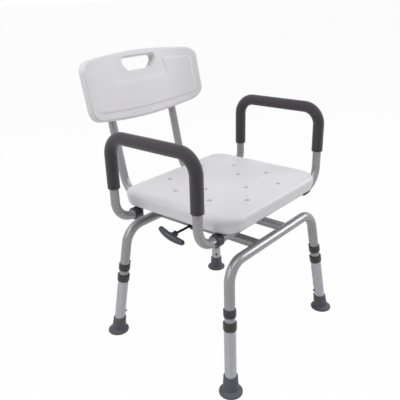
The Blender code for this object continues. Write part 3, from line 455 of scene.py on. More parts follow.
def rounded_loop(corners: Iterable[Pair], radii: Sequence[float], steps: int = 12) -> list[Vector]:
    """A closed flat outline through the corners, each one rounded.

    Args:
        corners: The outline's corners.
        radii: The radius at each corner.
        steps: The steps round each.

    Returns:
        The outline's points.
    """
    corners = [Vector((x, y, 0.0)) for x, y in corners]
    count = len(corners)
    loop = []
    for i, radius in enumerate(radii):
        loop += arc(corners[i - 1], corners[i], corners[(i + 1) % count], radius, steps)
    return loop


def recalculated(form: BMesh) -> BMesh:
    """Merge a form's doubles and turn its faces outward.

    Args:
        form: The form.

    Returns:
        The same form.
    """
    bmesh.ops.remove_doubles(form, verts=form.verts, dist=MERGE)
    bmesh.ops.recalc_face_normals(form, faces=form.faces)
    return form


def spun(profile: Sequence[Pair], closed: bool = False, sides: int = SMOOTH_SIDES) -> BMesh:
    """Spin a profile round the Z axis.

    Args:
        profile: Its radius and height points.
        closed: Whether its last point joins its first.
        sides: The number of steps round.

    Returns:
        The turned form.
    """
    form = bmesh.new()
    verts = [form.verts.new((radius, 0.0, height)) for radius, height in profile]
    pairs = list(zip(verts, verts[1:])) + ([(verts[-1], verts[0])] if closed else [])
    edges = [form.edges.new(pair) for pair in pairs]
    bmesh.ops.spin(form, geom=verts + edges, cent=(0, 0, 0), axis=(0, 0, 1), dvec=(0, 0, 0),
                   angle=2 * math.pi, steps=sides, use_merge=True, use_duplicate=False)
    return recalculated(form)


def ring(inner: float, outer: float, low: float, high: float) -> list[Pair]:
    """The closed profile of a plain ring."""
    return [(outer, high), (outer, low), (inner, low), (inner, high)]


def softened(form: BMesh, width: float, segments: int = 3, angle: float = 30.0) -> BMesh:
    """Bevel every edge that is sharper than an angle.

    Args:
        form: The form, which is changed.
        width: The bevel's width.
        segments: Its number of segments.
        angle: The least angle between faces, in degrees.

    Returns:
        The same form.
    """
    limit = math.radians(angle)
    sharp = [edge for edge in form.edges if edge.is_manifold and edge.calc_face_angle(0.0) > limit]
    bmesh.ops.bevel(form, geom=sharp, offset=width, offset_type="OFFSET", segments=segments,
                    profile=0.5, affect="EDGES", clamp_overlap=True, material=-1)
    return form


def block(low: Sequence[float], high: Sequence[float]) -> BMesh:
    """A block between two corners, to be cut, softened or joined.

    Args:
        low: Its low corner.
        high: Its high corner.

    Returns:
        The block.
    """
    low, high = Vector(low), Vector(high)
    form = bmesh.new()
    matrix = Matrix.Translation((low + high) / 2) @ Matrix.Diagonal((*(high - low), 1.0))
    bmesh.ops.create_cube(form, size=1.0, matrix=matrix)
    return form


def rod(radius: float, low: float, high: float, sides: int = 32) -> BMesh:
    """A round plug on the Z axis, to cut a hole or to be joined.

    Args:
        radius: Its radius.
        low: Where it starts.
        high: Where it ends.
        sides: How many sides it has.

    Returns:
        The plug.
    """
    form = bmesh.new()
    bmesh.ops.create_cone(form, cap_ends=True, segments=sides, radius1=radius, radius2=radius,
                          depth=high - low, matrix=lift((low + high) / 2))
    return form


def lift(height: float) -> Matrix:
    """The move up the Z axis by a height."""
    return Matrix.Translation((0.0, 0.0, height))


def moved(form: BMesh, matrix: Matrix) -> BMesh:
    """Place a form by a matrix."""
    bmesh.ops.transform(form, matrix=matrix, verts=form.verts)
    return form


def pin_cutter(radius: float, low: float, high: float, level: float,
               place: Optional[Matrix] = None) -> BMesh:
    """A round plug that points along X, to cut a pin's hole in the side of a tube.

    Args:
        radius: Its radius.
        low: Where it starts, from the tube's middle line.
        high: Where it ends.
        level: Its place along the tube.
        place: The tube's frame, if the tube isn't about the Z axis.

    Returns:
        The plug.
    """
    at = lift(level) @ FACING_X
    return moved(rod(radius, low, high), place @ at if place else at)


def dome(radius: float, base: float, rise: float, steps: int = 6) -> list[Pair]:
    """The profile of a dome above its rim, up to its pole.

    Args:
        radius: Its radius at the rim.
        base: The rim's level.
        rise: The pole's height above the rim.
        steps: The steps from the rim to the pole.

    Returns:
        The radius and level of each step, the rim's own left out.
    """
    angles = [math.pi / 2 * i / steps for i in range(1, steps)]
    curve = [(radius * math.cos(angle), base + rise * math.sin(angle)) for angle in angles]
    return curve + [(0.0, base + rise)]


def plate(outline: Sequence[Pair], thickness: float, hollow: Sequence[Pair] = ()) -> BMesh:
    """A flat outline drawn up from z = 0.

    Args:
        outline: The outline.
        thickness: How far it is drawn up.
        hollow: The outline of a hollow through it, if it has one.

    Returns:
        The plate.
    """
    form = bmesh.new()
    edges = []
    for loop in filter(len, (outline, hollow)):
        verts = [form.verts.new((x, y, 0.0)) for x, y in loop]
        edges += [form.edges.new(pair) for pair in zip(verts, verts[1:] + verts[:1])]
    if len(hollow):
        faces = bmesh.ops.triangle_fill(form, edges=edges, use_beauty=True)["geom"]
        faces = [item for item in faces if isinstance(item, bmesh.types.BMFace)]
    else:
        faces = bmesh.ops.contextual_create(form, geom=edges)["faces"]
    drawn = bmesh.ops.extrude_face_region(form, geom=faces, use_keep_orig=True)["geom"]
    raised = [item for item in drawn if isinstance(item, bmesh.types.BMVert)]
    bmesh.ops.translate(form, verts=raised, vec=(0.0, 0.0, thickness))
    return recalculated(form)


def swept(path: Sequence[Vector], radius: float, wall: float = 0.0, sides: int = 32,
          swell: Optional[Callable[[float], float]] = None) -> BMesh:
    """A round tube or bar along a path.

    Args:
        path: The points of its middle line.
        radius: Its outer radius.
        wall: Its wall, or 0 for a bar with closed ends.
        sides: Its number of sides.
        swell: The radius as a multiple, given the share of the path's points passed.

    Returns:
        The tube.
    """
    form = bmesh.new()
    heading = (path[1] - path[0]).normalized()
    aside = heading.orthogonal()
    start = axes_matrix(path[0], heading, aside)
    first = radius * (swell(0.0) if swell else 1.0)
    bmesh.ops.create_circle(form, cap_ends=wall == 0.0, segments=sides, radius=first, matrix=start)
    edges = list(form.edges)
    count = len(path) - 1
    for i in range(1, count + 1):
        lifted = bmesh.ops.extrude_edge_only(form, edges=edges)["geom"]
        edges = [item for item in lifted if isinstance(item, bmesh.types.BMEdge)]
        verts = [item for item in lifted if isinstance(item, bmesh.types.BMVert)]
        along = path[min(i + 1, count)] - path[i]
        cross = ((path[i] - path[i - 1]).normalized() + along.normalized()).normalized()
        turn = heading.rotation_difference(cross).to_matrix().to_4x4()
        scale = 1.0
        if swell:
            scale = swell(i / count) / swell((i - 1) / count)
        step = (Matrix.Translation(path[i]) @ turn @ Matrix.Diagonal((scale, scale, scale, 1.0))
                @ Matrix.Translation(-path[i - 1]))
        bmesh.ops.transform(form, matrix=step, verts=verts)
        heading = cross
    if wall == 0.0:
        bmesh.ops.contextual_create(form, geom=edges)
    recalculated(form)
    if wall:
        outward = sum(face.normal.dot(face.calc_center_median() - path[0])
                      for face in form.faces[:sides])
        if outward < 0:
            bmesh.ops.reverse_faces(form, faces=form.faces)
        bmesh.ops.solidify(form, geom=form.faces[:], thickness=wall)
        bmesh.ops.recalc_face_normals(form, faces=form.faces)
    return form


def carved(form: BMesh, *cutters: BMesh, joined: Sequence[BMesh] = ()) -> BMesh:
    """Join some forms to a form and cut others out of it.

    Args:
        form: The form, which is used up.
        cutters: Forms that are cut out, and used up.
        joined: Forms that are joined on first, and used up.

    Returns:
        The new form.
    """
    helpers = []

    def helper(source: BMesh) -> bpy.types.Object:
        """Put a form in the scene for a moment.

        Args:
            source: The form.

        Returns:
            Its object.
        """
        mesh = bpy.data.meshes.new("helper")
        source.to_mesh(mesh)
        source.free()
        obj = bpy.data.objects.new("helper", mesh)
        bpy.context.scene.collection.objects.link(obj)
        helpers.append(obj)
        return obj

    body = helper(form)
    for operation, tools in (("UNION", joined), ("DIFFERENCE", cutters)):
        for tool in tools:
            modifier = body.modifiers.new(operation, "BOOLEAN")
            modifier.operation = operation
            modifier.solver = "EXACT"
            modifier.object = helper(tool)
    bpy.context.view_layer.update()
    shaped = body.evaluated_get(bpy.context.evaluated_depsgraph_get())
    result = bmesh.new()
    result.from_mesh(shaped.to_mesh())
    shaped.to_mesh_clear()
    for obj in helpers:
        mesh = obj.data
        bpy.data.objects.remove(obj, do_unlink=True)
        bpy.data.meshes.remove(mesh)
    bmesh.ops.remove_doubles(result, verts=result.verts, dist=MERGE)
    return result


def follow(path: Sequence[Vector]) -> Callable[[Vector], Vector]:
    """A map from a point near a bent tube to its place on the tube drawn straight.

    Args:
        path: The tube's middle line.

    Returns:
        A function whose Z is the distance along the path.
    """
    starts = [0.0]
    for one, two in zip(path, path[1:]):
        starts.append(starts[-1] + (two - one).length)

    def straighten(point: Vector) -> Vector:
        """The point's place on the straight tube.

        Args:
            point: A point near the bent tube.

        Returns:
            The same point near the straight one.
        """
        best = None
        for i, (one, two) in enumerate(zip(path, path[1:])):
            run = two - one
            share = min(max((point - one).dot(run) / run.length_squared, 0.0), 1.0)
            away = point - (one + run * share)
            if best is None or away.length_squared < best[0]:
                best = (away.length_squared, starts[i] + share * run.length, away, run)
        _, distance, away, run = best
        side = run.cross(Vector((0.31, 0.83, 0.47))).normalized()
        return Vector((away.dot(side), away.dot(run.normalized().cross(side)), distance))

    return straighten


def keep_local(form: BMesh, measure: Optional[Callable[[Vector], Vector]] = None) -> None:
    """Store where each point's pattern is read, in the attribute local.

    Args:
        form: The form.
        measure: The map from a point to its place, or None for its own.
    """
    layers = form.verts.layers.float_vector
    layer = layers.get("local") or layers.new("local")
    for vert in form.verts:
        vert[layer] = measure(vert.co) if measure else vert.co


def publish(name: str, form: BMesh, finish: Finish, body: str, matrix: Matrix,
            measure: Optional[Callable[[Vector], Vector]] = None, crease: float = 38.0,
            extra: bool = False) -> bpy.types.Object:
    """Make a form a piece of the chair.

    Args:
        name: The piece's name.
        form: Its form, which is used up.
        finish: Its finish.
        body: The body it moves with.
        matrix: Its place in the row's frame.
        measure: What gives its own coordinates, if not its place before it is moved.
        crease: Edges sharper than this angle stay sharp, in degrees.
        extra: Whether it is trim, instead of standing for the frame's node of its name.

    Returns:
        The piece.
    """
    keep_local(form, measure)
    bmesh.ops.transform(form, matrix=matrix, verts=form.verts)
    mesh = bpy.data.meshes.new(name)
    form.to_mesh(mesh)
    form.free()
    mesh.polygons.foreach_set("use_smooth", [True] * len(mesh.polygons))
    mesh.set_sharp_from_angle(angle=math.radians(crease))
    mesh.materials.append(finish.material)
    piece = bpy.data.objects.new(name, mesh)
    bpy.context.scene.collection.objects.link(piece)
    weighted = piece.modifiers.new("even_shading", "WEIGHTED_NORMAL")
    weighted.keep_sharp = True
    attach(piece, body)
    finish.value.name
    if not extra:
        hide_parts(name)
    LOG.info("%s: %d faces, rides %s", name, len(mesh.polygons), body)
    return piece


# Sub-assemblies


def swivel_place() -> Matrix:
    """The move from the swivel's axis to the row's frame, read from the index plate's box."""
    low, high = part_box("index_plate")
    return Matrix.Translation(((low.x + high.x) / 2, (low.y + high.y) / 2, 0.0))


@dataclass(frozen=True)
class SnapButton:
    """A round-headed pin on a folded leaf spring."""

    radius: float = 0.0034
    proud: float = 0.0030
    dome: float = 0.0016
    leaf_width: float = 0.0050
    leaf_thickness: float = 0.0006
    reach: float = 0.012
    tail: float = 0.006
    folds: tuple[float, float, float] = (0.002, 0.0012, 0.002)

    def build(self, name: str, matrix: Matrix, shell: float, bore: float, travel: float,
              reach: float) -> None:
        """Make the button.

        Args:
            name: The piece's name, which is its body's too.
            matrix: The tube's frame at the pin, which points along X.
            shell: The radius of the tube outside it.
            bore: The radius inside.
            travel: How far it presses in.
            reach: How far the leaf runs along the tube.
        """
        leaf_x = math.sqrt((bore - GAP) ** 2 - (self.leaf_width / 2) ** 2) - GAP
        tail_x = travel - leaf_x + 2 * GAP
        fold = math.copysign(abs(reach) - self.tail / 2, reach)
        start = math.copysign(self.tail, -reach)
        route = rounded_path([Vector((leaf_x, 0.0, start)), Vector((leaf_x, 0.0, fold)),
                              Vector((0.0, 0.0, reach)), Vector((tail_x, 0.0, fold)),
                              Vector((tail_x, 0.0, 0.0))], self.folds, 5)
        form = bmesh.new()
        half = Vector((0.0, self.leaf_width / 2, 0.0))
        corners = [form.verts.new(point - half) for point in route]
        edges = [form.edges.new(pair) for pair in zip(corners, corners[1:])]
        sheet = bmesh.ops.extrude_edge_only(form, edges=edges)["geom"]
        far = [item for item in sheet if isinstance(item, bmesh.types.BMVert)]
        bmesh.ops.translate(form, verts=far, vec=(0.0, self.leaf_width, 0.0))
        recalculated(form)
        if any(face.normal.x < 0 and face.calc_center_median().x > leaf_x * 0.9
               for face in form.faces):
            bmesh.ops.reverse_faces(form, faces=form.faces)
        bmesh.ops.solidify(form, geom=form.faces[:], thickness=self.leaf_thickness)
        bmesh.ops.recalc_face_normals(form, faces=form.faces)
        tip = shell + self.proud
        root, rim = leaf_x - self.leaf_thickness / 2, tip - self.dome
        profile = [(0.0, root), (self.radius, root), (self.radius, rim)]
        stem = moved(spun(profile + dome(self.radius, rim, self.dome), sides=28), FACING_X)
        publish(name, carved(form, joined=[stem]), Finish.PIN_METAL, name, matrix)


@dataclass(frozen=True)
class Splay:
    """How the four legs stand: from the feet on the floor up to the corners of the frame."""

    foot_x: float = 0.2245
    foot_y: float = 0.198
    corner_x: float = 0.1856
    corner_y: float = 0.1653
    frame_z: float = 0.3135

    @property
    def lean_x(self) -> float:
        """The lean inward across the chair, per metre of height."""
        return (self.foot_x - self.corner_x) / self.frame_z

    @property
    def lean_y(self) -> float:
        """The lean inward along the chair, per metre of height."""
        return (self.foot_y - self.corner_y) / self.frame_z

    def along(self, height: float) -> float:
        """Distance along a leg's axis from the floor to a height."""
        return height * math.sqrt(1 + self.lean_x ** 2 + self.lean_y ** 2)

    def point(self, side: Side, end: End, height: float) -> Vector:
        """The point of a leg's axis at a height."""
        return Vector((side.value * (self.foot_x - self.lean_x * height),
                       end.value * (self.foot_y - self.lean_y * height), height))

    def matrix(self, side: Side, end: End) -> Matrix:
        """The frame of a leg: Z up its axis from the floor, X towards the chair's middle."""
        up = self.point(side, end, 1.0) - self.point(side, end, 0.0)
        return axes_matrix(self.point(side, end, 0.0), up, (up.x, up.y, 0.0))


@dataclass(frozen=True)
class Base:
    """The two bent frame tubes, the rails between them and the fixed parts of the swivel."""

    splay: Splay = Splay()
    joint_z: float = 0.200
    frame_radius: float = 0.0127
    frame_wall: float = 0.0014
    frame_bend: float = 0.052
    button_z: float = 0.216
    pin_hole: float = 0.0040
    rail_x: float = 0.060
    rail_width: float = 0.0245
    rail_height: float = 0.0145
    rail_wall: float = 0.0018
    groove_depth: float = 0.0009
    groove_height: float = 0.0042
    rail_in: float = 0.004
    plate_radius: float = 0.083
    plate_thickness: float = 0.003
    drum_radius: float = 0.034
    drum_wall: float = 0.006
    drum_top: float = 0.3525
    lock_z: float = 0.3430
    lock_holes: int = 12
    lock_hole: float = 0.0028
    retainer_width: float = 0.012
    rivet: Pair = (0.0042, 0.0018)
    rivet_y: float = 0.047
    rail_edge: float = 0.0006
    plate_edge: float = 0.0007
    glide_edge: float = 0.0005
    retainer_edge: float = 0.0006
    hole_start: float = 0.004

    @property
    def frame_z(self) -> float:
        """The height of the frame tubes' middle line."""
        return self.splay.frame_z

    @property
    def plate_z(self) -> float:
        """The underside of the index plate."""
        return self.frame_z + self.rail_height / 2 + GAP

    @property
    def pan_z(self) -> float:
        """The underside of the swivel pan."""
        return self.plate_z + 2 * (self.plate_thickness + GAP)

    def bent_tube(self, end: End, matrix: Matrix) -> None:
        """One U of frame tube, with the hole for each leg's snap button.

        Args:
            end: The tube's end of the chair.
            matrix: The swivel's place.
        """
        joint = self.joint_z + GAP
        heights = ((Side.RIGHT, joint), (Side.RIGHT, self.frame_z), (Side.LEFT, self.frame_z),
                   (Side.LEFT, joint))
        corners = [self.splay.point(side, end, height) for side, height in heights]
        path = rounded_path(corners, [self.frame_bend] * 2)
        level = self.splay.along(self.button_z)
        holes = [pin_cutter(self.pin_hole, self.hole_start, REACH / 2, level,
                            self.splay.matrix(side, end)) for side in Side]
        form = carved(swept(path, self.frame_radius, self.frame_wall), *holes)
        publish(end.word + "_frame", form, Finish.ALUMINIUM, "base", matrix, follow(path))

    def rail(self, side: Side, matrix: Matrix) -> None:
        """One box rail, grooved along each side and coped to the frame tubes.

        Args:
            side: The rail's side.
            matrix: The swivel's place.
        """
        wide, high, groove = self.rail_width / 2, self.rail_height / 2, self.groove_height / 2
        floor = wide - self.groove_depth
        right = [(wide, -high), (wide, -groove), (floor, -groove), (floor, groove), (wide, groove),
                 (wide, high)]
        outer = right + [(-x, y) for x, y in reversed(right)]
        inner_w, inner_h = wide - self.rail_wall, high - self.rail_wall
        hollow = [(x * inner_w, y * inner_h) for x, y in ((-1, -1), (-1, 1), (1, 1), (1, -1))]
        bar_y = self.splay.point(Side.LEFT, End.REAR, self.frame_z).y
        half = bar_y - self.rail_in
        form = plate(outer, 2 * half, hollow)
        softened(form, self.rail_edge, 2, SQUARE)
        moved(form, lift(-half))
        moved(form, axes_matrix((side.value * self.rail_x, 0, self.frame_z), (0, -1, 0), (1, 0, 0)))
        copes = []
        for end in End:
            across = axes_matrix((side.value * self.rail_x, end.value * bar_y, self.frame_z),
                                 (1, 0, 0), (0, 0, 1))
            copes.append(moved(rod(self.frame_radius + GAP, -REACH, REACH, 64), across))
        lengthwise = Matrix.Rotation(math.pi / 2, 3, "X")
        publish(side.word + "_rail", carved(form, *copes), Finish.ALUMINIUM, "base", matrix,
                lambda point: lengthwise @ point)

    def swivel(self, matrix: Matrix) -> None:
        """The index plate with its drum, the glide ring and the ring that holds the pan down.

        Args:
            matrix: The swivel's place.
        """
        plate_z, thick = self.plate_z, self.plate_thickness
        bore = self.drum_radius - self.drum_wall
        section = [(self.drum_radius, self.drum_top), (self.drum_radius, plate_z + thick),
                   (self.plate_radius, plate_z + thick), (self.plate_radius, plate_z),
                   (bore, plate_z), (bore, self.drum_top)]
        form = softened(spun(section, True, 96), self.plate_edge, 2, SQUARE)
        spokes = [Matrix.Rotation(2 * math.pi * i / self.lock_holes, 4, "Z")
                  for i in range(self.lock_holes)]
        holes = [pin_cutter(self.lock_hole, self.drum_radius / 2, REACH, self.lock_z, spoke)
                 for spoke in spokes]
        publish("index_plate", carved(form, *holes), Finish.STEEL, "base", matrix)
        glide = plate_z + thick + GAP
        form = spun(ring(self.drum_radius + GAP, self.plate_radius, glide, glide + thick), True, 96)
        softened(form, self.glide_edge, 2)
        publish("glide_ring", form, Finish.GLIDE_PLASTIC, "base", matrix)
        retainer = self.pan_z + thick + GAP
        form = spun(ring(self.drum_radius + GAP, self.drum_radius + self.retainer_width, retainer,
                         retainer + thick), True, 96)
        softened(form, self.retainer_edge, 2)
        publish("retaining_ring", form, Finish.STEEL, "base", matrix)

    def rivets(self, matrix: Matrix) -> None:
        """Domed rivet heads under the rails, which hold the index plate.

        Args:
            matrix: The swivel's place.
        """
        places = [(side.value * self.rail_x, end.value * self.rivet_y)
                  for side in Side for end in End]
        for i, (x, y) in enumerate(places):
            under = Matrix.Translation((x, y, self.frame_z - self.rail_height / 2)) @ FACING_DOWN
            publish("rail_rivet_%d" % (i + 1), dome_head(*self.rivet), Finish.STEEL, "base",
                    matrix @ under, extra=True)

    def build(self, matrix: Matrix) -> None:
        """Make every piece of the base but the legs' sleeves.

        Args:
            matrix: The swivel's place.
        """
        for end in End:
            self.bent_tube(end, matrix)
        for side in Side:
            self.rail(side, matrix)
        self.swivel(matrix)
        self.rivets(matrix)


def dome_head(radius: float, height: float, recess: float = 0.0) -> BMesh:
    """A low domed rivet or screw head that stands on z = 0.

    Args:
        radius: Its radius.
        height: Its height.
        recess: The depth of a cross recess, or 0 for none.

    Returns:
        The head.
    """
    sunk, rim = -0.0004, 0.0002
    profile = [(0.0, sunk), (radius * 0.96, sunk), (radius, rim)]
    form = spun(profile + dome(radius, rim, height - rim), sides=24)
    if recess:
        arm, half = radius * 0.55, radius * 0.13
        low, high = height - recess, height + recess
        form = carved(form, block((-arm, -half, low), (arm, half, high)),
                      block((-half, -arm, low), (half, arm, high)))
    return form


@dataclass(frozen=True)
class Leg:
    """One leg: plug-in tube, joint sleeve, height tube with its holes, bush, buttons and foot."""

    side: Side
    end: End
    base: Base = Base()
    button: SnapButton = SnapButton()
    spigot_length: float = 0.040
    spigot: float = 0.0106
    spigot_wall: float = 0.0012
    leg_bottom_z: float = 0.050
    sleeve_z: float = 0.2003
    sleeve_length: float = 0.0198
    sleeve_radius: float = 0.0153
    height_radius: float = 0.0143
    height_top_z: float = 0.170
    height_bottom_z: float = 0.0128
    height_pin_z: float = 0.063
    holes: int = 4
    pitch: float = 0.0254
    bush_z: float = 0.1683
    bush_length: float = 0.0209
    bush_radius: float = 0.01625
    foot_radius: float = 0.0285
    foot_neck: float = 0.0174
    foot_waist: float = 0.0190
    foot_waist_z: float = 0.0108
    foot_top_z: float = 0.044
    foot_floor: float = 0.010
    travel: float = 0.0046
    slide_gap: float = 0.0004
    lip_in: float = 0.00025
    lip_height: float = 0.0012
    lip_ramp: float = 0.0004
    brim: tuple[Pair, ...] = ((0.0009, 0.0), (0.0003, 0.0003), (0.0, 0.0010))
    hem: tuple[Pair, ...] = ((0.0, 0.0065), (0.0001, 0.0045), (0.0004, 0.0026), (0.0009, 0.0011),
                             (0.0016, 0.0002), (0.0021, 0.0))
    foot_lip: tuple[Pair, ...] = ((0.0007, 0.0), (0.0001, 0.0006), (0.0, 0.0014), (-0.0004, 0.0100))
    foot_skirt: tuple[Pair, ...] = ((0.0002, -0.0080), (0.0, -0.0008), (-0.0003, -0.0001),
                                    (-0.0009, 0.0004), (-0.0030, 0.0016))
    foot_rim: tuple[Pair, ...] = ((0.0026, 0.0063), (0.0014, 0.0058), (0.0005, 0.0050),
                                  (0.0, 0.0040),
                                  (0.0, 0.0014), (0.0005, 0.0004), (0.0014, 0.0))
    tread_radii: tuple[float, ...] = (0.0235, 0.0185, 0.0135, 0.0085)
    tread: tuple[Pair, ...] = ((0.0, 0.0), (0.0004, 0.0012), (0.0016, 0.0012), (0.0020, 0.0))
    mouth_height: float = 0.0018

    @property
    def name(self) -> str:
        """The leg's place in its pieces' names."""
        return self.end.word + "_" + self.side.word

    def sleeve(self, radius: float, low: float, length: float, bore: float,
               lip: Optional[Pair] = None) -> BMesh:
        """A collar with a rounded brim, pulled in at its foot.

        Args:
            radius: Its outer radius.
            low: The height of its foot.
            length: Its length.
            bore: Its bore.
            lip: A narrower bore, and the height from which it starts.

        Returns:
            The collar.
        """
        high = low + length
        narrow, level = lip or (bore, low)
        mouth = narrow - self.lip_in
        profile = [(mouth, high)] + [(radius - inset, high - drop) for inset, drop in self.brim]
        profile += [(radius - inset, low + rise) for inset, rise in self.hem] + [(bore, low)]
        profile += [(bore, level), (narrow, level)] if lip else []
        lip_foot = high - self.lip_height
        profile += [(narrow, lip_foot - self.lip_ramp), (mouth, lip_foot)]
        return spun(profile, True)

    def tubes(self, matrix: Matrix) -> None:
        """The leg tube with its spigot, and the height tube with its holes.

        Args:
            matrix: The leg tube's frame.
        """
        along = self.base.splay.along
        radius, wall = self.base.frame_radius, self.base.frame_wall
        joint, bottom = along(self.base.joint_z), along(self.leg_bottom_z)
        top = joint + self.spigot_length
        spigot_bore = self.spigot - self.spigot_wall
        section = [(self.spigot, top), (self.spigot, joint), (radius, joint), (radius, bottom),
                   (radius - wall, bottom), (radius - wall, joint - wall), (spigot_bore, joint),
                   (spigot_bore, top)]
        room = self.button.radius + self.slide_gap
        frame_pin, height_pin = along(self.base.button_z), along(self.height_pin_z)
        form = carved(spun(section, True),
                      block((0.0, -room, frame_pin - room), (REACH, room, top + REACH)),
                      block((0.0, -room, bottom - REACH), (REACH, room, height_pin + room)))
        publish(self.name + "_leg_tube", form, Finish.ALUMINIUM, self.name + "_leg", matrix)

        low, high = along(self.height_bottom_z), along(self.height_top_z)
        holes = [pin_cutter(self.base.pin_hole, 0.0, REACH, height_pin + i * self.pitch)
                 for i in range(self.holes)]
        section = ring(radius + self.slide_gap, self.height_radius, low, high)
        form = carved(spun(section, True), *holes)
        publish(self.name + "_height_tube", form, Finish.PALE_ALUMINIUM, self.name + "_height",
                matrix)

    def collars(self, matrix: Matrix) -> None:
        """The sleeve at the frame joint and the bush at the height tube's mouth.

        Args:
            matrix: The leg tube's frame.
        """
        along = self.base.splay.along
        low = along(self.sleeve_z) - self.sleeve_length / 2
        form = self.sleeve(self.sleeve_radius, low, self.sleeve_length,
                           self.base.frame_radius + GAP)
        publish(self.name + "_joint_sleeve", form, Finish.COLLAR_PLASTIC, "base", matrix)
        low = along(self.bush_z) - self.bush_length / 2
        lip = (self.base.frame_radius + GAP, along(self.height_top_z) + GAP)
        form = self.sleeve(self.bush_radius, low, self.bush_length, self.height_radius + GAP, lip)
        publish(self.name + "_height_bush", form, Finish.COLLAR_PLASTIC, self.name + "_height",
                matrix)

    def buttons(self, matrix: Matrix) -> None:
        """The snap button at the frame joint and the one at the height tube.

        Args:
            matrix: The leg tube's frame.
        """
        shell = self.base.frame_radius
        for word, height, outer, bore in (
                ("frame", self.base.button_z, shell, self.spigot - self.spigot_wall),
                ("height", self.height_pin_z, self.height_radius, shell - self.base.frame_wall)):
            at = matrix @ lift(self.base.splay.along(height))
            self.button.build(self.name + "_" + word + "_button", at, outer, bore, self.travel,
                              self.button.reach)

    def foot(self, matrix: Matrix) -> None:
        """The rubber foot: a leaning neck, a flare, a rim and a ringed tread.

        Args:
            matrix: The swivel's place.
        """
        splay = self.base.splay
        bore = (self.height_radius + GAP) * splay.along(1.0)
        neck, waist, rim = self.foot_neck, self.foot_waist, self.foot_radius
        top, middle = self.foot_top_z, self.foot_waist_z
        mouth = bore - self.lip_in
        profile = [(0.0, self.foot_floor), (bore, self.foot_floor),
                   (bore, top - self.mouth_height - self.lip_ramp),
                   (mouth, top - self.mouth_height), (mouth, top)]
        profile += [(neck - inset, top - drop) for inset, drop in self.foot_lip]
        profile += [(waist - inset, middle - drop) for inset, drop in self.foot_skirt]
        profile += [(rim - inset, height) for inset, height in self.foot_rim]
        profile += [(outer - inset, height) for outer in self.tread_radii
                    for inset, height in self.tread]
        form = spun(profile + [(0.0, 0.0)])
        lean = Matrix.Identity(4)
        lean[0][2] = -self.side.value * splay.lean_x
        lean[1][2] = -self.end.value * splay.lean_y
        keep = Matrix.Translation(splay.point(self.side, self.end, 0.0)) @ lean
        publish(self.name + "_foot", form, Finish.FOOT_RUBBER, self.name + "_height", matrix @ keep)

    def build(self, matrix: Matrix) -> None:
        """Make every piece of the leg.

        Args:
            matrix: The swivel's place.
        """
        local = matrix @ self.base.splay.matrix(self.side, self.end)
        self.tubes(local)
        self.collars(local)
        self.buttons(local)
        self.foot(matrix)


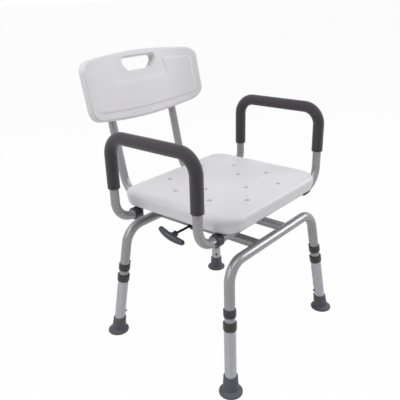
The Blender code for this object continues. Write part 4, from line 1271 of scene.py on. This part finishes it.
@dataclass(frozen=True)
class SeatFrame:
    """The tubes, the flat bar and the pan under the seat."""

    base: Base = Base()
    side_x: float = 0.116
    side_z: float = 0.3709
    side_radius: float = 0.0127
    side_rear_y: float = 0.135
    arm_radius: float = 0.0111
    arm_wall: float = 0.0014
    front_y: float = -0.1375
    rear_y: float = 0.121
    mount_z: float = 0.3715
    stub: float = 0.0086
    stub_bore: float = 0.0073
    stub_end: float = 0.2115
    cross_half: float = 0.1825
    button_x: float = 0.2095
    pin_room: float = 0.0038
    pin_hole: float = 0.0040
    back_pin_y: float = 0.055
    bar_width: float = 0.025
    bar_ear: float = 0.004
    bar_drop: float = 0.0125
    seat_bottom: float = 0.3875
    collar_radius: float = 0.0154
    collar_outer: float = 0.2045
    collar_edge: float = 0.002
    pan_floor: float = 0.088
    pan_rim: float = 0.105
    pan_radius: float = 0.115
    pan_thickness: float = 0.003
    pan_clearance: float = 0.0015
    guide_bush: float = 0.007
    screw: tuple[float, float, float] = (0.0040, 0.0022, 0.0014)
    screw_x: float = 0.1098
    screw_y: float = 0.014
    tube_edge: float = 0.0003
    bar_edge: float = 0.0012
    stub_edge: float = 0.001
    pan_edge: float = 0.0009

    def outward(self, side: Side, y: float) -> Matrix:
        """The frame on an arm's mounting line: Z outward, X towards the chair's front."""
        return axes_matrix((0, y, self.mount_z), (side.value, 0, 0), (0, -1, 0))

    def cross_tube(self, matrix: Matrix) -> None:
        """The front cross tube, whose thinner ends carry the arms.

        Args:
            matrix: The swivel's place.
        """
        section = [(self.stub, self.stub_end), (self.stub, self.cross_half),
                   (self.arm_radius, self.cross_half), (self.arm_radius, -self.cross_half),
                   (self.stub, -self.cross_half), (self.stub, -self.stub_end),
                   (self.stub_bore, -self.stub_end), (self.stub_bore, self.stub_end)]
        low = self.button_x - self.pin_room
        far = self.stub_end + REACH
        slots = [block((0, -self.pin_room, low), (REACH, self.pin_room, far)),
                 block((0, -self.pin_room, -far), (REACH, self.pin_room, -low))]
        form = carved(spun(section, True), *slots)
        publish("front_cross_tube", form, Finish.ALUMINIUM, "seat",
                matrix @ self.outward(Side.LEFT, self.front_y))

    def side_tubes(self, matrix: Matrix) -> None:
        """The two side tubes, coped over the cross tube, into which the back plugs.

        Args:
            matrix: The swivel's place.
        """
        for side in Side:
            x = side.value * self.side_x
            back = axes_matrix((x, 0, self.side_z), (0, 1, 0), (0, 0, -1))
            section = ring(self.arm_radius + GAP, self.side_radius, self.front_y, self.side_rear_y)
            cope = moved(rod(self.arm_radius + GAP, -REACH, REACH, 64),
                         back.inverted() @ axes_matrix((x, self.front_y, self.mount_z), (1, 0, 0),
                                                       (0, 0, 1)))
            hole = pin_cutter(self.pin_hole, 0.0, REACH, self.back_pin_y)
            form = softened(carved(spun(section, True), cope, hole), self.tube_edge, 2, SQUARE)
            publish(side.word + "_side_tube", form, Finish.ALUMINIUM, "seat", matrix @ back)

    def rear_bar(self, matrix: Matrix) -> None:
        """The flat bar with its turned-down ears and the stubs for the arms.

        Args:
            matrix: The swivel's place.
        """
        low = self.side_z + self.side_radius + GAP
        high = self.seat_bottom - GAP
        far = self.rear_y + self.bar_width / 2
        outer = self.cross_half - GAP
        inner = outer - self.bar_ear
        foot = self.mount_z - self.bar_drop
        outline = [(-outer, foot), (-inner, foot), (-inner, low), (inner, low), (inner, foot),
                   (outer, foot), (outer, high), (-outer, high)]
        form = plate(outline, self.bar_width)
        softened(form, self.bar_edge, 3, SQUARE)
        moved(form, axes_matrix((0, far, 0), (0, -1, 0), (1, 0, 0)))
        root, edge = outer - self.bar_ear / 2, self.stub_edge
        profile = [(0.0, root), (self.stub, root), (self.stub, self.stub_end - edge),
                   (self.stub - edge, self.stub_end), (0.0, self.stub_end)]
        stubs = [moved(spun(profile), self.outward(side, self.rear_y)) for side in Side]
        lengthwise = Matrix.Rotation(math.pi / 2, 3, "Y")
        publish("rear_cross_bar", carved(form, joined=stubs), Finish.ALUMINIUM, "seat", matrix,
                lambda point: lengthwise @ point)

    def collars(self, matrix: Matrix) -> None:
        """The four collars that the arms seat against.

        Args:
            matrix: The swivel's place.
        """
        low, high, edge = self.cross_half + GAP, self.collar_outer, self.collar_edge
        radius, bore = self.collar_radius, self.stub + GAP
        round_in = edge * 0.3
        section = [(bore, low), (radius - edge, low), (radius - round_in, low + round_in),
                   (radius, low + edge), (radius, high - edge),
                   (radius - round_in, high - round_in), (radius - edge, high), (bore, high)]
        for side in Side:
            for end, y in ((End.FRONT, self.front_y), (End.REAR, self.rear_y)):
                publish(side.word + "_" + end.word + "_collar", spun(section, True),
                        Finish.COLLAR_PLASTIC, "seat", matrix @ self.outward(side, y), crease=50.0)

    def pan(self, matrix: Matrix) -> None:
        """The dished pan that turns on the base, with room for the rod's guide.

        Args:
            matrix: The swivel's place.
        """
        floor = self.base.pan_z
        top = self.side_z - self.side_radius - GAP
        bore = self.base.drum_radius + self.pan_clearance
        slant = self.pan_thickness / 2
        section = [(self.pan_rim - slant, top), (self.pan_radius, top),
                   (self.pan_radius, top - self.pan_thickness),
                   (self.pan_rim, top - self.pan_thickness), (self.pan_floor, floor),
                   (bore, floor), (bore, floor + self.pan_thickness),
                   (self.pan_floor - slant, floor + self.pan_thickness)]
        toward = axes_matrix((0, 0, self.base.lock_z), (-1, 0, 0), (0, 0, 1))
        room = moved(rod(self.guide_bush + GAP, self.pan_floor - REACH / 2, self.pan_radius),
                     toward)
        form = softened(spun(section, True, 96), self.pan_edge, 3, 25.0)
        publish("swivel_pan", carved(form, room), Finish.STEEL, "seat", matrix)
        places = [(side.value * self.screw_x, end.value * self.screw_y)
                  for side in Side for end in End]
        for i, (x, y) in enumerate(places):
            under = Matrix.Translation((x, y, top - self.pan_thickness)) @ FACING_DOWN
            publish("pan_screw_%d" % (i + 1), dome_head(*self.screw), Finish.STEEL, "seat",
                    matrix @ under, extra=True)

    def build(self, matrix: Matrix) -> None:
        """Make every piece under the seat.

        Args:
            matrix: The swivel's place.
        """
        self.cross_tube(matrix)
        self.side_tubes(matrix)
        self.rear_bar(matrix)
        self.collars(matrix)
        self.pan(matrix)


def eased(share: float) -> float:
    """A share from 0 to 1 that starts and stops softly, held at both ends."""
    share = min(max(share, 0.0), 1.0)
    return share * share * (3 - 2 * share)


def inside_by(x: float, y: float, half: Pair, corner: float) -> float:
    """How far a point lies inside a rounded rectangle about the origin, or outside if negative.

    Args:
        x: The point's place across.
        y: Its place up.
        half: Half the rectangle's width and half its height.
        corner: Its corner radius.

    Returns:
        The distance.
    """
    across = abs(x) - half[0] + corner
    along = abs(y) - half[1] + corner
    return corner - math.hypot(max(across, 0.0), max(along, 0.0)) - min(max(across, along), 0.0)


def quarter(radius: float, count: int) -> list[Pair]:
    """The steps round a quarter-round edge.

    Args:
        radius: The edge's radius.
        count: How many steps it takes.

    Returns:
        The inset and rise of each.
    """
    angles = [math.pi / 2 * i / count for i in range(count + 1)]
    return [(radius * (math.cos(low) - math.cos(high)), radius * (math.sin(high) - math.sin(low)))
            for low, high in zip(angles, angles[1:])]


def grow(form: BMesh, face: bmesh.types.BMFace, steps: Iterable[Pair]) -> None:
    """Inset a face step by step, each with its own inset and rise.

    Args:
        form: The form.
        face: The face.
        steps: The inset and rise of each step.
    """
    for inset, rise in steps:
        bmesh.ops.inset_region(form, faces=[face], thickness=inset, depth=rise, use_boundary=True,
                               use_even_offset=True)


def board(outline: Sequence[Vector], upper: Iterable[Pair],
          lower: Iterable[Pair]) -> tuple[BMesh, bmesh.types.BMFace, bmesh.types.BMFace]:
    """A moulded board grown from its widest outline.

    Args:
        outline: The outline, on z = 0.
        upper: Inset and rise of each step above it.
        lower: The same below it.

    Returns:
        The form, its top face and its bottom face.
    """
    form = bmesh.new()
    top = form.faces.new([form.verts.new(point) for point in outline])
    form.normal_update()
    if top.normal.z < 0:
        top.normal_flip()
    grow(form, top, upper)
    rim = [edge for edge in form.edges if edge.is_boundary]
    bottom = bmesh.ops.contextual_create(form, geom=rim)["faces"][0]
    bmesh.ops.recalc_face_normals(form, faces=form.faces)
    grow(form, bottom, lower)
    return form, top, bottom


@dataclass(frozen=True)
class Seat:
    """The moulded seat: soft edges, a shallow dish, drain holes and a parting line."""

    half_width: float = 0.2001
    front_y: float = -0.1807
    rear_y: float = 0.1678
    bottom_z: float = 0.3875
    top_z: float = 0.4268
    front_corner: float = 0.054
    rear_corner: float = 0.042
    edge: float = 0.0125
    under_edge: float = 0.008
    draft: float = 0.0032
    rim: float = 0.007
    dish_step: float = 0.0075
    dish: float = 0.0009
    parting_drop: float = 0.0040
    parting_width: float = 0.0008
    parting_depth: float = 0.0006
    drain: float = 0.0050
    drain_mouth: float = 0.0068
    drain_dip: float = 0.0046
    drain_outer: Pair = (0.122, 0.054)
    drain_corner: Pair = (0.068, 0.1245)
    drain_side_x: float = 0.0686
    drain_end_y: float = 0.074
    boss_radius: float = 0.011
    boss_x: float = 0.090
    boss_y: float = -0.1375
    boss_foot: float = 0.3829
    under_dish: tuple[Pair, ...] = ((0.012, 0.0), (0.002, -0.0015))

    @property
    def drains(self) -> list[Pair]:
        """The drain holes' pattern about the seat's middle.

        Returns:
            The holes' places.
        """
        middle = (self.front_y + self.rear_y) / 2
        places = [(0.0, self.drain_end_y), (0.0, -self.drain_end_y), (self.drain_side_x, 0.0),
                  (-self.drain_side_x, 0.0)]
        for x, y in (self.drain_outer, self.drain_corner):
            places += [(x, y), (-x, y), (x, -y), (-x, -y)]
        return [(x, middle + y) for x, y in places]

    def build(self, matrix: Matrix) -> None:
        """Make the seat.

        Args:
            matrix: The swivel's place.
        """
        corners = [(-self.half_width, self.front_y), (self.half_width, self.front_y),
                   (self.half_width, self.rear_y), (-self.half_width, self.rear_y)]
        outline = rounded_loop(corners, [self.front_corner] * 2 + [self.rear_corner] * 2, 16)
        widest = self.top_z - self.edge
        wall = widest - self.bottom_z - self.under_edge
        drop, width, depth = self.parting_drop, self.parting_width, self.parting_depth
        upper = quarter(self.edge, 8) + [(self.rim, 0.0), (self.dish_step, -self.dish / 3),
                                         (self.dish_step, -self.dish),
                                         (self.dish_step, -self.dish / 2)]
        lower = [(0.0, drop), (depth, width / 4), (0.0, width / 2), (-depth, width / 4),
                 (self.draft, wall - drop - width)]
        lower += quarter(self.under_edge, 4) + list(self.under_dish)
        form, _, _ = board(outline, upper, lower)
        moved(form, lift(widest))
        bosses = []
        for side in Side:
            post = rod(self.boss_radius, self.boss_foot, widest - wall)
            at = Matrix.Translation((side.value * self.boss_x, self.boss_y, 0))
            bosses.append(moved(post, at))
        cutters = []
        for x, y in self.drains:
            flare = self.drain_mouth - self.drain
            mouth = self.top_z - 1.8 * self.dish
            profile = [(0.0, self.bottom_z - REACH), (self.drain, self.bottom_z - REACH),
                       (self.drain, mouth - self.drain_dip - 0.0006)]
            profile += [(self.drain + flare * i / 8, mouth - self.drain_dip * (1 - eased(i / 8)))
                        for i in range(9)]
            profile += [(self.drain_mouth, mouth + REACH), (0.0, mouth + REACH)]
            cutters.append(moved(spun(profile, sides=32), Matrix.Translation((x, y, 0))))
        form = carved(form, *cutters, joined=bosses)
        publish("seat_panel", form, Finish.WHITE_PLASTIC, "seat", matrix, crease=50.0)


@dataclass(frozen=True)
class Arm:
    """One arm: the bent tube, its bright end rings, its foam grip and its button."""

    side: Side
    under: SeatFrame = SeatFrame()
    button: SnapButton = SnapButton(proud=0.0025)
    x: float = 0.2565
    top_z: float = 0.5843
    lower_bend: float = 0.050
    upper_bend: float = 0.045
    grip_radius: float = 0.015
    travel: float = 0.0042
    ring_radius: float = 0.0122
    ring_length: float = 0.0020
    ring_edge: float = 0.0005
    grip_edge: float = 0.0012

    @property
    def grip_ends(self) -> Pair:
        """The heights of the grip's front end and rear end."""
        return (0.466, 0.449) if self.side is Side.LEFT else (0.4585, 0.457)

    def corners(self, foot: float) -> list[Vector]:
        """The corners of the tube's path.

        Args:
            foot: How far its two ends are from the chair's middle.

        Returns:
            The corners.
        """
        under, sign = self.under, self.side.value
        line = [(foot, under.front_y, under.mount_z), (self.x, under.front_y, under.mount_z),
                (self.x, under.front_y, self.top_z), (self.x, under.rear_y, self.top_z),
                (self.x, under.rear_y, under.mount_z), (foot, under.rear_y, under.mount_z)]
        return [Vector((sign * x, y, z)) for x, y, z in line]

    def build(self, matrix: Matrix) -> None:
        """Make every piece of the arm.

        Args:
            matrix: The swivel's place.
        """
        under, word = self.under, self.side.word
        body = word + "_arm"
        corners = self.corners(under.collar_outer + GAP)
        path = rounded_path(corners, [self.lower_bend, self.upper_bend, self.upper_bend,
                                      self.lower_bend])
        front = under.outward(self.side, under.front_y)
        hole = pin_cutter(under.pin_hole, 0.0, REACH, under.button_x, front)
        form = carved(swept(path, under.arm_radius, under.arm_wall), hole)
        publish(body + "_tube", form, Finish.ALUMINIUM, body, matrix, follow(path))
        at_pin = matrix @ front @ lift(under.button_x)
        self.button.build(body + "_button", at_pin, under.arm_radius, under.stub_bore, self.travel,
                          -self.button.reach)

        start = under.collar_outer + GAP
        inner, outer = under.arm_radius + 0.00005, self.ring_radius
        for end, y in ((End.FRONT, under.front_y), (End.REAR, under.rear_y)):
            band = spun(ring(inner, outer, start, start + self.ring_length), True)
            softened(band, self.ring_edge, 3, SQUARE)
            publish(body + "_" + end.word + "_band", band, Finish.ALUMINIUM, body,
                    matrix @ under.outward(self.side, y), extra=True)

        ends = [self.corners(0.0)[i].copy() for i in (1, 2, 3, 4)]
        ends[0].z, ends[3].z = self.grip_ends
        path = rounded_path(ends, [self.upper_bend, self.upper_bend], 20)
        bore = under.arm_radius + GAP
        form = swept(path, self.grip_radius, self.grip_radius - bore, 48)
        softened(form, self.grip_edge, 3, SQUARE)
        grip = publish(body + "_grip", form, Finish.FOAM, body, matrix, follow(path), SQUARE)


@dataclass(frozen=True)
class SwivelLock:
    """The rod that drops into the drum, its T-handle, its guide and its spring."""

    z: float = 0.3430
    tip: float = 0.0283
    rod_radius: float = 0.0030
    collar_radius: float = 0.0055
    collar_x: float = 0.0575
    collar_length: float = 0.003
    handle_x: float = 0.200
    half_span: float = 0.0349
    sag: float = 0.0075
    tilt: float = -15.0
    mid_radius: float = 0.0088
    end_radius: float = 0.0060
    boss_radius: float = 0.0073
    boss_waist: float = 0.0012
    boss_flare: float = 0.0035
    boss_sink: float = 0.0045
    cap_radius: float = 0.0075
    cap_length: float = 0.0050
    cap_rim: tuple[Pair, ...] = ((0.0, 0.0022), (0.0006, 0.0010), (0.0016, 0.0002), (0.0026, 0.0))
    face_x: float = 0.177
    bore_depth: float = 0.011
    flange_radius: float = 0.012
    flange_x: float = 0.118
    flange_length: float = 0.004
    guide_bush: float = 0.007
    guide_inner: float = 0.085
    wire: float = 0.0006
    spring_radius: float = 0.0044
    turns: int = 4
    pitch: float = 0.0017
    spring_steps: int = 20

    def handle(self, place: Matrix) -> None:
        """The T-handle: a bowed bar that thins to its ends, and its boss.

        Args:
            place: The lock rod's frame.
        """
        steps = 28
        path = []
        for i in range(steps + 1):
            share = 2 * i / steps - 1
            across = share * (self.half_span + self.end_radius)
            path.append(Vector((0.0, across, self.handle_x - self.sag * share ** 2)))

        def swell(share: float) -> float:
            """The bar's thickness, domed at its two ends.

            Args:
                share: How far along the bar.

            Returns:
                The thickness there, as a share of the middle's.
            """
            away = abs(2 * share - 1)
            radius = self.mid_radius + (self.end_radius - self.mid_radius) * away ** 2
            start = 1 - self.end_radius / (self.half_span + self.end_radius)
            into = max(0.0, (away - start) / (1 - start))
            return max(0.12, math.sqrt(max(0.0, 1 - into ** 2))) * radius / self.mid_radius

        bar = swept(path, self.mid_radius, sides=28, swell=swell)
        low, neck = self.face_x + self.cap_length, self.boss_radius - self.boss_waist
        high = self.handle_x - self.boss_sink
        flare = [(neck + self.boss_flare * (1 - i / 8) ** 2.2, high - (high - low) * i / 8)
                 for i in range(9)]
        flare = [(0.0, self.handle_x)] + flare + [(0.0, low)]
        bore = rod(self.rod_radius + GAP, self.face_x - REACH, self.face_x + self.bore_depth)
        form = carved(bar, bore, joined=[spun(flare)])
        turned = place @ Matrix.Rotation(math.radians(self.tilt), 4, "Z")
        publish("lock_handle", form, Finish.HANDLE_PLASTIC, "lock", turned, crease=50.0)
        inner, outer, face = self.rod_radius + GAP, self.cap_radius, self.face_x
        rim = [(outer - inset, face + rise) for inset, rise in self.cap_rim]
        profile = [(inner, low), (outer - 0.0006, low), (outer, low - 0.0008)] + rim
        cap = spun(profile + [(inner, face)], True)
        publish("lock_handle_cap", cap, Finish.COLLAR_PLASTIC, "lock", turned, extra=True)

    def build(self, matrix: Matrix) -> None:
        """Make every piece of the lock.

        Args:
            matrix: The swivel's place.
        """
        place = matrix @ axes_matrix((0, 0, self.z), (-1, 0, 0), (0, 0, 1))
        root = self.face_x + self.bore_depth - GAP
        collar = self.collar_x + self.collar_length
        r = self.rod_radius
        section = [(0.0, root), (r, root), (r, collar), (self.collar_radius, collar),
                   (self.collar_radius, self.collar_x), (r, self.collar_x), (r, self.tip + r * 0.6),
                   (r * 0.85, self.tip + r * 0.25), (r * 0.5, self.tip), (0.0, self.tip)]
        publish("lock_rod", spun(section, sides=24), Finish.BLACK_STEEL, "lock", place)
        self.handle(place)

        end = self.flange_x + self.flange_length
        section = [(self.flange_radius, end), (self.flange_radius, self.flange_x),
                   (self.guide_bush, self.flange_x), (self.guide_bush, self.guide_inner),
                   (r + GAP, self.guide_inner), (r + GAP, end)]
        form = softened(spun(section, True), 0.0006, 2, SQUARE)
        publish("lock_guide", form, Finish.COLLAR_PLASTIC, "seat", place)

        start = self.guide_inner - GAP - self.wire
        turn = Vector((self.spring_radius, 0.0, 0.0))
        shares = [i / self.spring_steps for i in range(self.turns * self.spring_steps + 1)]
        coil = [Matrix.Rotation(2 * math.pi * share, 3, "Z") @ turn
                + Vector((0.0, 0.0, start - self.pitch * share)) for share in shares]
        publish("lock_spring", swept(coil, self.wire, sides=10), Finish.STEEL, "seat", place)


@dataclass(frozen=True)
class Back:
    """The curved backrest on its two bent tubes, which plug into the seat's side tubes."""

    under: SeatFrame = SeatFrame()
    button: SnapButton = SnapButton()
    front_y: float = 0.035
    bend: float = 0.062
    line_y: float = 0.2581
    line_z: float = 0.4964
    high_y: float = 0.3083
    high_z: float = 0.7464
    socket_top: float = 0.200
    socket_radius: float = 0.0145
    socket_roof: float = 0.004
    socket_edge: float = 0.007
    half_width: float = 0.2105
    top: float = 0.2466
    bottom: float = 0.0687
    top_crown: float = 0.0168
    bottom_crown: float = 0.0179
    top_corner: float = 0.0330
    bottom_corner: float = 0.0359
    thickness: float = 0.028
    forward: float = 0.0113
    wing: float = 0.0305
    wing_power: int = 4
    edge: float = 0.008
    pitch: float = 0.0017
    field_half: float = 0.1890
    field_top: float = 0.2170
    field_bottom: float = 0.0925
    field_corner: float = 0.016
    field_rise: float = 0.0013
    field_slope: float = 0.0036
    notch_half: float = 0.0880
    notch_bottom: float = 0.1780
    notch_corner: float = 0.016
    notch_fade: float = 0.0200
    hole_half: float = 0.0590
    hole_foot_half: float = 0.0420
    hole_top: float = 0.2285
    hole_shoulder: float = 0.2150
    hole_bottom: float = 0.1947
    hole_corner: float = 0.009
    hole_foot_corner: float = 0.006
    hole_edge: float = 0.0045
    travel: float = 0.0046
    hole_pitch: float = 0.012
    socket_hem: tuple[Pair, ...] = ((0.0015, 0.0), (0.0004, 0.0004), (0.0, 0.0015))

    @property
    def lean(self) -> float:
        """How far the back tubes lean back, per metre of height."""
        return (self.high_y - self.line_y) / (self.high_z - self.line_z)

    def point(self, x: float, up: float, forward: float) -> Vector:
        """A point of the backrest.

        Args:
            x: Its place across.
            up: How far up the back tubes' line it is.
            forward: How far forward of that line.

        Returns:
            The point.
        """
        slope = math.sqrt(1 + self.lean ** 2)
        return Vector((x, self.line_y + (self.lean * up - forward) / slope,
                       self.line_z + (up + self.lean * forward) / slope))

    @property
    def plane(self) -> Matrix:
        """The backrest's frame: Y up along the back tubes, Z forward."""
        origin = self.point(0, 0, 0)
        return axes_matrix(origin, self.point(0, 0, 1) - origin, (1, 0, 0))

    def gridded(self, form: BMesh) -> BMesh:
        """Cut a flat form into a fine grid, so that it can bend and take the field's relief.

        Args:
            form: The form.

        Returns:
            The same form.
        """
        for axis, low, high in ((0, -self.half_width, self.half_width), (1, self.bottom, self.top)):
            count = round((high - low) / self.pitch)
            facing = Vector((axis == 0, axis == 1, 0.0))
            for i in range(1, count):
                bmesh.ops.bisect_plane(form, geom=form.verts[:] + form.edges[:] + form.faces[:],
                                       plane_co=facing * (low + (high - low) * i / count),
                                       plane_no=facing, dist=MERGE)
        return form

    def relief(self, x: float, up: float) -> float:
        """How far the raised field stands out of the front face, fading out below the hand hole.

        Args:
            x: The place across.
            up: The place up the back tubes' line.

        Returns:
            The height, from 0 to the field's rise.
        """
        middle = (self.field_top + self.field_bottom) / 2
        half = (self.field_half, (self.field_top - self.field_bottom) / 2)
        field = inside_by(x, up - middle, half, self.field_corner)
        notch = -inside_by(x, up - self.top, (self.notch_half, self.top - self.notch_bottom),
                           self.notch_corner)
        down = eased((self.field_top - up) / (self.field_top - self.notch_bottom))
        width = self.field_slope + (self.notch_fade - self.field_slope) * down
        return self.field_rise * min(eased(field / self.field_slope), eased(notch / width))

    def bowed(self, form: BMesh, crowned: bool) -> BMesh:
        """Bend a flat form to the backrest's curve.

        Args:
            form: The form, flat about z = 0.
            crowned: Whether its top and bottom edges follow the crown too.

        Returns:
            The same form.
        """
        middle = (self.top + self.bottom) / 2
        for vert in form.verts:
            across = abs(vert.co.x / self.half_width)
            if crowned:
                share = (vert.co.y - middle) / (self.top - middle)
                crown = self.top_crown if share > 0 else self.bottom_crown
                vert.co.y -= crown * across ** 2 * share
            vert.co.z += self.forward + self.wing * across ** self.wing_power
        return form

    def panel(self, matrix: Matrix) -> None:
        """The moulded backrest with its hand hole and its two sockets.

        Args:
            matrix: The swivel's place.
        """
        corners = [(-self.half_width, self.bottom), (self.half_width, self.bottom),
                   (self.half_width, self.top), (-self.half_width, self.top)]
        radii = [self.bottom_corner] * 2 + [self.top_corner] * 2
        wall = self.thickness / 2 - self.edge
        front = [(0.0, wall - self.field_rise)] + quarter(self.edge, 8)
        rear = [(0.0, wall)] + quarter(self.edge, 8)
        form, _, _ = board(rounded_loop(corners, radii, 16), front, rear)
        self.gridded(form)
        for vert in form.verts:
            if vert.co.z > wall:
                vert.co.z += self.relief(vert.co.x, vert.co.y)
        self.bowed(form, True)

        edge = self.hole_edge
        right = [(self.hole_foot_half, self.hole_bottom), (self.hole_half, self.hole_shoulder),
                 (self.hole_half, self.hole_top)]
        radii = [self.hole_foot_corner] * 2 + [self.hole_corner]
        loop = rounded_loop(right + [(-x, up) for x, up in reversed(right)], radii + radii[::-1], 8)
        flare = [(0.0, self.thickness / 2 - edge)]
        flare += [(-inset, rise) for inset, rise in reversed(quarter(edge, 4))]
        flare.append((0.0, 0.004))
        hole, _, _ = board(loop, flare, flare)
        for i in range(-4, 5):
            bmesh.ops.bisect_plane(hole, geom=hole.verts[:] + hole.edges[:] + hole.faces[:],
                                   plane_co=(self.hole_pitch * i, 0, 0), plane_no=(1, 0, 0),
                                   dist=MERGE)
        self.bowed(hole, False)

        sockets, bores = [], []
        for side in Side:
            upward = axes_matrix((side.value * self.under.side_x, 0, 0), (0, 1, 0), (1, 0, 0))
            low = self.bottom + self.bottom_crown
            radius, top, edge = self.socket_radius, self.socket_top, self.socket_edge
            hem = [(radius - inset, low + rise) for inset, rise in self.socket_hem]
            profile = [(0.0, low)] + hem + [(radius, top - edge)]
            profile += [(radius - edge + x, top - edge + y) for x, y in dome(edge, 0.0, edge, 5)]
            sockets.append(moved(spun(profile + [(0.0, top)]), upward))
            bores.append(moved(rod(self.under.arm_radius + GAP, self.bottom - REACH,
                                   top - self.socket_roof, 40), upward))
        form = carved(form, hole, *bores, joined=sockets)
        publish("back_panel", form, Finish.WHITE_PLASTIC, "back", matrix @ self.plane, crease=45.0)

    def build(self, matrix: Matrix) -> None:
        """Make every piece of the back.

        Args:
            matrix: The swivel's place.
        """
        self.panel(matrix)
        slope = math.sqrt(1 + self.lean ** 2)
        knee = (self.under.side_z - self.line_z) * slope
        radius, wall = self.under.arm_radius, self.under.arm_wall
        room = self.under.pin_room
        for side in Side:
            x = side.value * self.under.side_x
            corners = [(x, self.front_y, self.under.side_z), self.point(x, knee, 0),
                       self.point(x, self.socket_top - self.socket_roof - GAP, 0)]
            path = rounded_path(corners, [self.bend], 16)
            inward = axes_matrix((x, self.front_y, self.under.side_z), (0, 1, 0), (0, 0, -1))
            pin = self.under.back_pin_y - self.front_y
            slot = moved(block((0.0, -room, -REACH), (REACH, room, pin + room)), inward)
            form = carved(swept(path, radius, wall), slot)
            publish(side.word + "_back_tube", form, Finish.ALUMINIUM, "back", matrix, follow(path))
            self.button.build(side.word + "_back_button", matrix @ inward @ lift(pin),
                              self.under.side_radius, radius - wall, self.travel, self.button.reach)


# The view


@dataclass(frozen=True)
class Studio:
    """The camera, the lamps, the world and the floor."""

    eye: tuple[float, float, float] = (-0.99536, -0.81702, 0.88858)
    azimuth: float = -49.383
    elevation: float = 22.439
    roll: float = -1.685
    focal: float = 515.39
    picture: float = 400.0
    sensor: float = 36.0
    centre: Pair = (198.236, 201.548)
    world: float = 0.22
    glow: float = 0.96
    lamps: tuple = (("left", (-2.25, 0.2, 1.9), 1.6, 18.0), ("top", (-0.3, -0.6, 3.2), 2.1, 34.0),
                    ("right", (2.05, -1.47, 1.43), 1.2, 30.0),
                    ("rear", (-1.5, 1.4, 2.8), 1.5, 23.0))

    def camera(self) -> None:
        """Stand the camera where the photograph was taken."""
        a, e, r = (math.radians(angle) for angle in (self.azimuth, self.elevation, self.roll))
        right = Vector((math.cos(a), math.sin(a), 0.0))
        ahead = Vector((-math.sin(a) * math.cos(e), math.cos(a) * math.cos(e), -math.sin(e)))
        up = right.cross(ahead)
        across = math.cos(r) * right + math.sin(r) * up
        above = -math.sin(r) * right + math.cos(r) * up
        data = bpy.data.cameras.new("camera")
        data.sensor_width = self.sensor
        data.lens = self.focal * self.sensor / self.picture
        half = self.picture / 2
        data.shift_x = (half - self.centre[0]) / self.picture
        data.shift_y = (self.centre[1] - half) / self.picture
        data.clip_start = 0.05
        camera = bpy.data.objects.new("camera", data)
        matrix = Matrix((across, above, -ahead)).transposed().to_4x4()
        matrix.translation = Vector(self.eye)
        camera.matrix_world = matrix
        bpy.context.scene.collection.objects.link(camera)
        bpy.context.scene.camera = camera

    def lamp(self, name: str, place: Sequence[float], size: float, power: float) -> None:
        """Add a soft square lamp that faces the seat.

        Args:
            name: Its name.
            place: Its place.
            size: Its side.
            power: Its power.
        """
        data = bpy.data.lights.new(name, "AREA")
        data.size = size
        data.energy = power
        lamp = bpy.data.objects.new(name, data)
        lamp.location = place
        aim = Vector((0.0, 0.0, 0.4)) - Vector(place)
        lamp.rotation_mode = "QUATERNION"
        lamp.rotation_quaternion = aim.to_track_quat("-Z", "Y")
        bpy.context.scene.collection.objects.link(lamp)

    def seen(self, tree: bpy.types.NodeTree) -> bpy.types.NodeSocket:
        """Tell what is seen, straight or in a gloss, from what only lights.

        Args:
            tree: The node tree that asks.

        Returns:
            A socket that is 1 where something is seen and 0 where it lights.
        """
        path = tree.nodes.new("ShaderNodeLightPath")
        socket = path.outputs["Is Camera Ray"]
        for kind in ("Is Glossy Ray", "Is Transmission Ray"):
            either = tree.nodes.new("ShaderNodeMath")
            either.operation = "MAXIMUM"
            tree.links.new(socket, either.inputs[0])
            tree.links.new(path.outputs[kind], either.inputs[1])
            socket = either.outputs[0]
        return socket

    def background(self) -> None:
        """A world that is white to the eye and in reflections, and softer as light."""
        world = bpy.data.worlds.new("studio")
        world.use_nodes = True
        bpy.context.scene.world = world
        tree = world.node_tree
        sky = tree.nodes["Background"]
        sky.inputs["Color"].default_value = (1.0, 1.0, 1.0, 1.0)
        level = tree.nodes.new("ShaderNodeMapRange")
        tree.links.new(self.seen(tree), level.inputs["Value"])
        level.inputs["To Min"].default_value = self.world
        level.inputs["To Max"].default_value = 1.0
        tree.links.new(level.outputs[0], sky.inputs["Strength"])

    def floor(self) -> None:
        """A plain pale floor that keeps the chair's shadow."""
        form = bmesh.new()
        bmesh.ops.create_grid(form, x_segments=8, y_segments=8, size=40.0)
        mesh = bpy.data.meshes.new("floor")
        form.to_mesh(mesh)
        form.free()
        shader = Shader("floor")
        shader.surface.inputs["Base Color"].default_value = (0.93, 0.93, 0.93, 1.0)
        shader.surface.inputs["Roughness"].default_value = 0.9
        shader.surface.inputs["Specular IOR Level"].default_value = 0.1
        glow = shader.node("ShaderNodeEmission", {"Color": (1.0, 1.0, 1.0, 1.0), "Strength": 1.0})
        share = shader.join("MULTIPLY", self.seen(shader.tree), self.glow)
        mixed = shader.node("ShaderNodeMixShader", {0: share, 1: shader.surface.outputs[0],
                                                    2: glow.outputs[0]})
        output = shader.tree.nodes["Material Output"]
        shader.tree.links.new(mixed.outputs[0], output.inputs["Surface"])
        mesh.materials.append(shader.material)
        floor = bpy.data.objects.new("floor", mesh)
        bpy.context.scene.collection.objects.link(floor)

    def build(self) -> None:
        """Set up the view."""
        self.camera()
        self.background()
        self.floor()
        for lamp in self.lamps:
            self.lamp(*lamp)
        bpy.context.scene.view_settings.view_transform = "Standard"


def main() -> None:
    """Build the chair in its studio."""
    logging.basicConfig(level=logging.INFO, format="%(name)s %(message)s")
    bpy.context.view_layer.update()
    Studio().build()
    place = swivel_place()
    Base().build(place)
    for end in End:
        for side in Side:
            Leg(side, end).build(place)
    SeatFrame().build(place)
    Seat().build(place)
    SwivelLock().build(place)
    for side in Side:
        Arm(side).build(place)
    Back().build(place)


if __name__ == "__main__":
    main()
